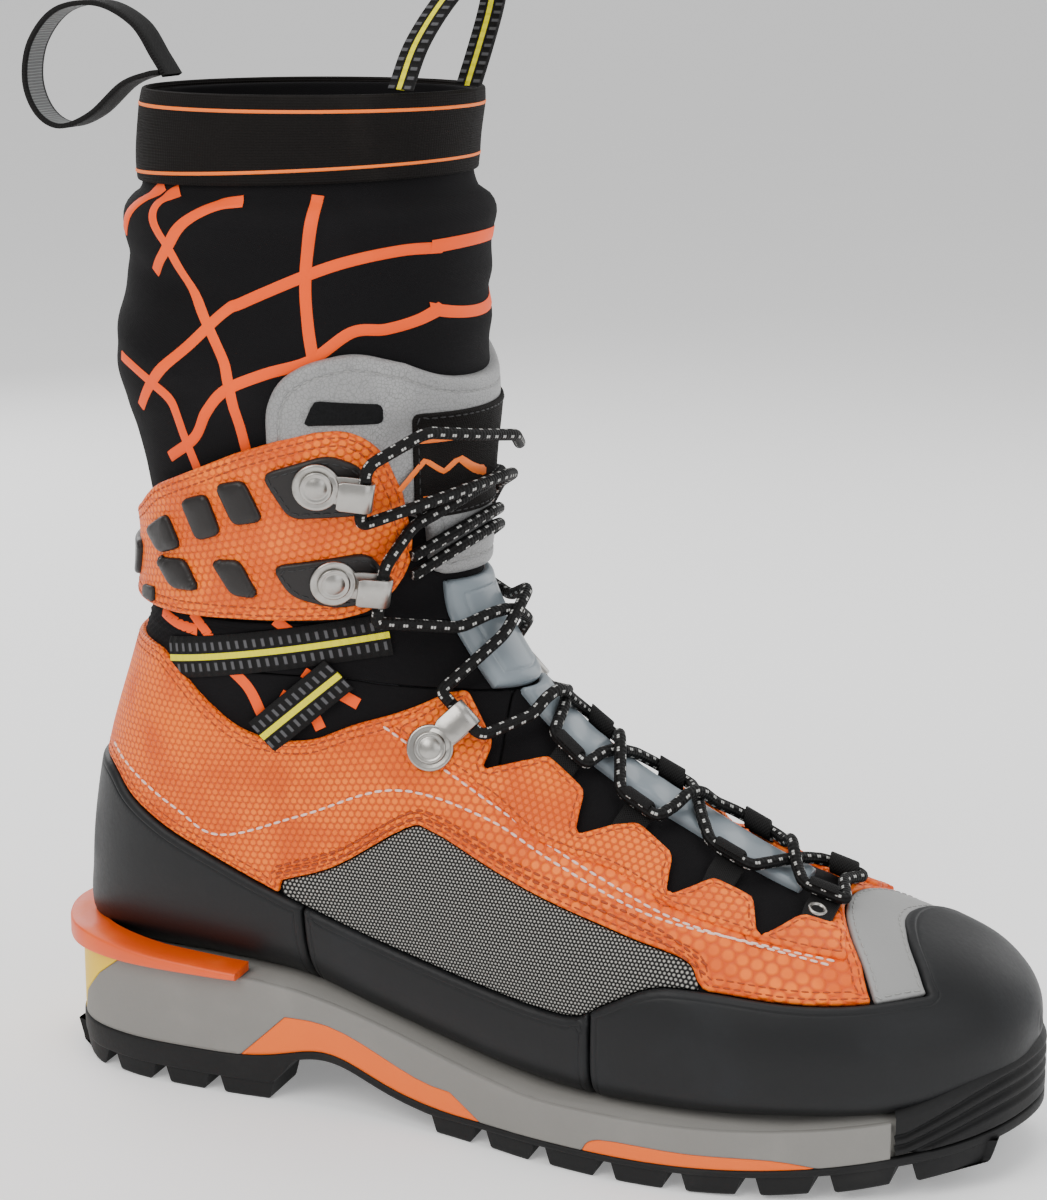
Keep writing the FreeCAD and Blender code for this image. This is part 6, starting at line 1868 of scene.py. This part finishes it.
def hookRun(key, side, low=3.2, high=3.2):
    origin, forward, normal = hookFrame(key, side)
    across = np.cross(normal, forward)
    if across[2] < 0:
        across = -across
    rise = hookSet["wall"] + (hookSet["lace"] + hookSet["room"]) / 2
    seat = origin + forward * hookSet["neck"] + normal * rise
    half = hookSet["width"] / 2
    return [seat - across * (half + low), seat + across * (half + high)]


loopStations, loopAngles = (10.35, 8.85, 7.35, 6.0), (0.33, 0.33, 0.27, 0.2)
grommet = {"places": ((243.0, 74.5, outer), (243.0, 74.5, inner)), "radius": 2.9}


def makeGrommets():
    profile = ((2.9, -0.4), (2.9, 0.35), (2.6, 0.62), (2.15, 0.62), (1.75, 0.35), (1.6, -0.2), (1.3, -0.3))
    parts = []
    for x, z, side in grommet["places"]:
        place, normal = surfaceAt([(x, z)], side)
        ahead = unit(np.cross(normal[0], (0.0, 0.0, 1.0)))
        parts.append(setAt(lathe(profile, 28), place[0] + normal[0] * 3.1, ahead, normal[0]))
    piece = makePanelMesh("toeGrommets", *joined(parts))
    sharpen(piece, 60)
    finishPiece(piece, "hookSteel", "boot")


motif = (((120.0, 192.0), (125.5, 200.5), (128.5, 196.0), (131.0, 199.5), (133.5, 192.0)),)


def makeMotif():
    # plain peaks and two bars on the tongue label
    parts = []
    lift = gap + layers["pad"] + gap + 0.8 + 0.9
    for side in (outer,):
        for line, width in ((motif[0], 1.2), (((124.5, 189.0), (133.4, 188.5)), 1.3),
                            (((124.5, 206.5), (133.4, 206.0)), 2.2)):
            p = np.asarray(line, float)
            p = np.vstack([np.linspace(a, b, 9)[:-1] for a, b in zip(p, p[1:])] + [p[-1:]])
            ahead = np.gradient(p, axis=0)
            ahead /= np.linalg.norm(ahead, axis=1, keepdims=True)
            flat = np.stack([-ahead[:, 1], ahead[:, 0]], 1)
            rows = []
            for share, rise in ((-0.5, 0.0), (-0.3, 0.22), (0.3, 0.22), (0.5, 0.0)):
                place, normal = surfaceAt(p + flat * width * share, side)
                rows.append(place + normal * (lift + rise))
            n = len(p)
            parts.append((np.vstack(rows), [(r * n + k, r * n + k + 1, (r + 1) * n + k + 1, (r + 1) * n + k)
                                            for r in range(3) for k in range(n - 1)]))
    piece = makePanelMesh("labelMotif", *joined(parts))
    finishPiece(piece, "orangeThread", "cuff")


laceSet = {"lift": 5.5, "liftCuff": 7.5, "rise": 4.1, "cut": 0.5, "turn": 5.6, "leave": 12.35,
           "leaveAngle": 0.62,
           "arrive": 15.6, "arriveAngle": 0.85, "ends": 4.5}


def ridgePoint(u, offset, across=0.0):
    return lastPoint(u, across, offset)


def loopSeat(row, side, run=0.0):
    return ridgePoint(loopStations[row] + run, laceSet["lift"], side * loopAngles[row])


def loopDirection(row, side):
    return unit(loopSeat(row, side, 0.2) - loopSeat(row, side, -0.2))


def loopRun(row, side):
    along = loopDirection(row, side) * (11.0 * 0.25 + 3.9)
    seat = loopSeat(row, side)
    return [seat - along, seat + along]


def overRidge(u0, a0, u1, a1, lift, rise):
    return [ridgePoint(u0 + (u1 - u0) * t, lift + rise * share, a0 + (a1 - a0) * t)
            for t, share in ((0.25, 0.2), (0.4, 0.85), (0.5, 1.0), (0.6, 0.85), (0.75, 0.2))]


def lowerStrand(first, rise):
    points = [ridgePoint(loopStations[3] - 0.12, laceSet["lift"] + 0.3)]
    side = first
    for row in range(len(loopStations) - 1, -1, -1):
        points += loopRun(row, side)
        if row:
            points += overRidge(loopStations[row] + 0.35, side * loopAngles[row],
                                loopStations[row - 1] - 0.35,
                                -side * loopAngles[row - 1], laceSet["lift"], rise)
        side = -side
    points += overRidge(loopStations[0] + 0.35, -side * 0.3, laceSet["leave"] - 0.75,
                        side * laceSet["leaveAngle"],
                        laceSet["lift"], rise)
    return points + hookRun("ankle", side, high=laceSet["cut"])


def frontRun(z0, side, z1, lift, rise=0.0, spread=0.66):
    return [ridgePoint(stationAt(z0 + (z1 - z0) * t), lift + rise * share, side * spread * (1 - 2 * t))
            for t, share in ((0.0, 0.0), (0.25, 0.3), (0.5, 1.0), (0.75, 0.3), (1.0, 0.0))]


def cornerPath(points, longest=4.5):
    # straight runs through the points with soft corners, as control points of one curve
    made = [np.asarray(points[0])]
    for a, b, c in zip(points, points[1:], points[2:]):
        a, b, c = (np.asarray(p) for p in (a, b, c))
        run = min(np.linalg.norm(a - b) * 0.45, np.linalg.norm(c - b) * 0.45, longest)
        made += [b + unit(a - b) * run, b + unit(a - b) * run * 0.35, b + unit(c - b) * run * 0.35,
                 b + unit(c - b) * run]
    return made + [np.asarray(points[-1])]


def nurbsPoints(name, points):
    curve = bpy.data.curves.new(name, "CURVE")
    curve.dimensions = "3D"
    curve.resolution_u = 4
    spline = curve.splines.new("NURBS")
    spline.points.add(len(points) - 1)
    for k, p in enumerate(toFrame(points)):
        spline.points[k].co = (*p, 1.0)
    spline.order_u = 3
    spline.use_endpoint_u = True
    holder = bpy.data.objects.new(name, curve)
    bpy.context.scene.collection.objects.link(holder)
    mesh = bpy.data.meshes.new_from_object(holder)
    line = np.array([v.co for v in mesh.vertices]) / mm + (heelMiddle, 0, 0)
    bpy.data.objects.remove(holder)
    bpy.data.curves.remove(curve)
    bpy.data.meshes.remove(mesh)
    keep = np.concatenate([[True], np.linalg.norm(np.diff(line, axis=0), axis=1) > 0.05])
    return line[keep]


def tubeMesh(name, points, radius, sides=14):
    line = nurbsPoints(name, cornerPath(points))
    ahead = np.gradient(line, axis=0)
    ahead /= np.linalg.norm(ahead, axis=1, keepdims=True)
    normal = unit(np.cross(ahead[0], (0.3, 0.5, 0.81)))
    rings, run = [], np.concatenate([[0], np.cumsum(np.linalg.norm(np.diff(line, axis=0), axis=1))])
    uv = []
    for k, (p, t) in enumerate(zip(line, ahead)):
        normal = unit(normal - t * normal.dot(t))
        across = np.cross(t, normal)
        for j in range(sides + 1):
            a = 2 * math.pi * j / sides
            rings.append(p + radius * (math.cos(a) * normal + math.sin(a) * across))
            uv.append((run[k], j / sides))
    n = sides + 1
    faces = [(k * n + j, k * n + j + 1, (k + 1) * n + j + 1, (k + 1) * n + j)
             for k in range(len(line) - 1) for j in range(sides)]
    faces += [tuple(range(sides))[::-1], tuple(range((len(line) - 1) * n, (len(line) - 1) * n + sides))]
    return np.array(rings), faces, np.array(uv)


def makeLacePiece(name, routes, body, replaces):
    parts, uvs = [], []
    for k, route in enumerate(routes):
        points, faces, uv = tubeMesh(name + str(k), route, hookSet["lace"] / 2)
        parts.append((points, faces))
        uvs.append(uv)
    points, faces = joined(parts)
    piece = makePanelMesh(name, points, faces, np.vstack(uvs))
    return finishPiece(piece, "braidedLace", body, replaces)


def makeLace():
    s = laceSet
    outerStrand, innerStrand = lowerStrand(outer, s["rise"]), lowerStrand(inner, 0.0)
    makeLacePiece("laceLower", [[*reversed(innerStrand), *outerStrand[1:]]], "boot", ["lace_lower"])
    strands = []
    for side, rise in ((outer, s["rise"]), (inner, 0.0)):
        lower = hookRun("ankle", side, s["cut"], s["cut"])[1]
        upper = hookRun("cuffLower", -side, s["cut"])[0]
        middle = overRidge(s["leave"] + 0.25, side * s["leaveAngle"], s["arrive"], -side * s["arriveAngle"],
                           s["liftCuff"], rise)
        turns = hookRun("ankle", side, high=s["turn"])[1], hookRun("cuffLower", -side, low=s["turn"])[0]
        strands.append([lower, turns[0], *middle, turns[1], upper])
    blendPiece(makeLacePiece("laceAnkle", strands, None, ["lace_ankle"]))
    lift = s["liftCuff"]
    over = lift + s["rise"]
    lowOuter, lowInner = (hookRun("cuffLower", side, s["cut"]) for side in (outer, inner))
    topOuter, topInner = (hookRun("cuffUpper", side, 4.6, 4.6) for side in (outer, inner))
    routes = [[*lowInner, *frontRun(184.0, inner, 189.0, over), *topOuter,
               *frontRun(210.0, outer, 190.0, over, 2.5)[:4]],
              [*lowOuter, *frontRun(184.0, outer, 189.0, lift), *topInner]]
    routes += [frontRun(z, outer, z, lift) for z in (176.5, 171.8)]
    makeLacePiece("laceUpper", routes, "cuff", ["lace_upper"])
    print("lace")


def makeLaceLoops():
    bore, wall = hookSet["lace"] / 2 + 0.3, 1.1
    for side, label in ((outer, "Outer"), (inner, "Inner")):
        parts, uvs = [], []
        for row in range(len(loopStations)):
            seat, along = loopSeat(row, side), loopDirection(row, side)
            below = unit(ridgePoint(loopStations[row], gap, side * loopAngles[row]) - seat)
            across = np.cross(along, below)
            foot = ridgePoint(loopStations[row], 3.0, side * (loopAngles[row] + 0.28))
            reach = foot - seat
            fx, fz = reach.dot(across), reach.dot(below)
            sign = 1 if fx > 0 else -1
            ring = []
            for a in np.linspace(-2.3, 1.75, 22):
                ring.append((sign * math.cos(a) * (bore + wall / 2) * -1, math.sin(a) * (bore + wall / 2)))
            path = ring + [(fx * 0.6, fz * 0.75), (fx, fz + 0.4)]
            path = np.array(path)
            ahead = np.gradient(path, axis=0)
            ahead /= np.linalg.norm(ahead, axis=1, keepdims=True)
            flat = np.stack([-ahead[:, 1], ahead[:, 0]], 1)
            run = np.concatenate([[0], np.cumsum(np.linalg.norm(np.diff(path, axis=0), axis=1))])
            width = 11.0 * 0.8
            section = ((-0.5, -0.3), (-0.46, -0.5), (0.46, -0.5), (0.5, -0.3), (0.5, 0.3), (0.46, 0.5),
                       (-0.46, 0.5),
                       (-0.5, 0.3))
            points = [seat + across * (p[0] + m[0] * b * wall) + below * (p[1] + m[1] * b * wall)
                      + along * a * width
                      for p, m in zip(path, flat) for a, b in section]
            n = len(section)
            faces = [(k * n + j, (k + 1) * n + j, (k + 1) * n + (j + 1) % n, k * n + (j + 1) % n)
                     for k in range(len(path) - 1) for j in range(n)]
            faces += [tuple(range(n)), tuple(range((len(path) - 1) * n, len(path) * n))[::-1]]
            parts.append((np.array(points), faces))
            uvs += [(run[k], a * width) for k in range(len(path)) for a, b in section]
        points, faces = joined(parts)
        piece = makePanelMesh("laceLoops" + label, points, faces, np.array(uvs))
        sharpen(piece, 50)
        finishPiece(piece, "blackWebbing", "boot", ["lace_loops_" + label.lower()])
    print("lace loops")


rearLoop = {"reach": 47.0, "width": 11.0, "wall": 1.5, "foot": (36.0, 306.0),
            "line": ((0.02, -0.02), (-0.06, 0.10), (-0.20, 0.30), (-0.45, 0.42), (-0.74, 0.38),
                     (-0.93, 0.18),
                     (-0.98, -0.07), (-0.90, -0.27), (-0.74, -0.35), (-0.52, -0.27), (-0.29, -0.08),
                     (-0.10, -0.01),
                     (-0.02, 0.0))}
frontLoop = {"rise": 33.0, "width": 9.0, "wall": 1.5, "angles": (0.66, 0.06), "clear": 1.7, "lean": 17.0}


def ribbonMesh(spine, sides, width, wall):
    spine = np.asarray(spine, float)
    sides = np.asarray(sides, float)
    ahead = np.gradient(spine, axis=0)
    ahead /= np.linalg.norm(ahead, axis=1, keepdims=True)
    normal = np.cross(ahead, sides)
    normal /= np.linalg.norm(normal, axis=1, keepdims=True)
    run = np.concatenate([[0], np.cumsum(np.linalg.norm(np.diff(spine, axis=0), axis=1))])
    section = [(-0.5, -0.25), (-0.48, -0.5), (-0.2, -0.5), (0.2, -0.5), (0.48, -0.5), (0.5, -0.25),
               (0.5, 0.25),
               (0.48, 0.5), (0.2, 0.5), (-0.2, 0.5), (-0.48, 0.5), (-0.5, 0.25)]
    points = [p + s * a * width + m * b * wall for p, s, m in zip(spine, sides, normal) for a, b in section]
    uv = [(run[k], a * width) for k in range(len(spine)) for a, b in section]
    n = len(section)
    faces = [(k * n + j, (k + 1) * n + j, (k + 1) * n + (j + 1) % n, k * n + (j + 1) % n)
             for k in range(len(spine) - 1) for j in range(n)]
    faces += [tuple(range(n)), tuple(range((len(spine) - 1) * n, len(spine) * n))[::-1]]
    return np.array(points), faces, np.array(uv)


def smooth3(points, steps=8):
    p = np.asarray(points, float)
    p = np.vstack([2 * p[0] - p[1], p, 2 * p[-1] - p[-2]])
    t = np.linspace(0, 1, steps, endpoint=False)[:, None]
    made = [0.5 * (2 * b + (c - a) * t + (2 * a - 5 * b + 4 * c - d) * t ** 2
                   + (3 * b - a - 3 * c + d) * t ** 3)
            for a, b, c, d in zip(p, p[1:], p[2:], p[3:])]
    return np.vstack(made + [p[-2:-1]])


def makePullLoops():
    s = rearLoop
    foot = np.array([s["foot"][0], 0.0, s["foot"][1]])
    spine = smooth3([foot + np.array([x, 0, z]) * s["reach"] for x, z in s["line"]])
    points, faces, uv = ribbonMesh(spine, np.tile((0.0, 1.0, 0.0), (len(spine), 1)), s["width"], s["wall"])
    piece = makePanelMesh("rearPullLoop", points, faces, uv)
    sharpen(piece, 60)
    finishPiece(piece, "blackWebbing", "rear_loop", ["rear_pull_loop"])
    piece.data.materials.append(materials["greyWebbing"])
    centre = foot + np.array([-0.5, 0, 0.02]) * s["reach"]
    for face in piece.data.polygons:
        middle = np.array(face.center) / mm + (heelMiddle, 0, 0)
        inward = centre - middle
        if np.dot(inward, np.array(face.normal)) > 0 and abs(face.normal[1]) < 0.4:
            face.material_index = 1
    s = frontLoop
    u = stationAt(bandTop)
    a, b = (ridgePoint(u, layers["band"] * 0.5, outer * angle) for angle in s["angles"])
    a[2] = b[2] = bandTop + s["clear"]
    span = b - a
    flat = unit((span[0], span[1], 0.0))
    out = np.array([flat[1], -flat[0], 0.0])
    shape = ((0.0, -0.02, 0.0), (0.10, 0.35, 0.22), (0.24, 0.70, 0.60), (0.42, 0.93, 0.92),
             (0.60, 1.0, 1.0),
             (0.80, 0.92, 0.92), (0.95, 0.66, 0.60), (1.02, 0.32, 0.25), (1.0, -0.02, 0.0))
    spine = smooth3([a + span * t + np.array([0, 0, rise * s["rise"]]) + out * lean * s["lean"] for t, rise,
                     lean in shape])
    points, faces, uv = ribbonMesh(spine, np.tile(out, (len(spine), 1)), s["width"], s["wall"])
    piece = makePanelMesh("frontPullLoop", points, faces, uv)
    sharpen(piece, 60)
    finishPiece(piece, "ribbedWebbing", "front_loop", ["front_pull_loop"])
    print("pull loops")


hidden = {"shank": "stiffSheet", "insole_board": "paleBoard", "lining_front": "innerFoam",
          "lining_rear": "innerFoam",
          "ankle_foam": "innerFoam", "toe_puff": "stiffSheet", "heel_counter": "stiffSheet",
          "footbed": "innerFoam"}


def makeHidden():
    for node, material in hidden.items():
        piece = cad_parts[node]
        piece.data.materials.clear()
        piece.data.materials.append(materials[material])


makeMaterials()
setCamera()
setLights()
makeFloor()
makeRands()
makePanels()
makeSeams()
makeOutsole()
makeMidsole()
makeHeelWelt()
makeBumper()
makeSock()
makeStraps()
makeSleeve()
makeBand()
makeCuff()
makeTongue()
makeHooks()
makeGrommets()
makeMotif()
makeLaceLoops()
makeLace()
makePullLoops()
makeHidden()
for gather, name, material, body, slot in (
        (rustStitches, "rustStitches", "rustThread", "boot", "orange_microfibre"),
        (whiteStitches, "whiteStitches", "whiteThread", "boot", "orange_microfibre"),
        (greyStitches, "stripStitches", "greyThread", "boot", "grey_strip"),
        (cuffRust, "cuffStitches", "rustThread", "cuff", "orange_microfibre"),
        (cuffGrey, "tongueStitches", "greyThread", "cuff", "grey_leather"),
        (cuffBlack, "plateStitches", "blackThread", "cuff", "black_plastic")):
    gather.finish(name, material, body, slot)
print("done")
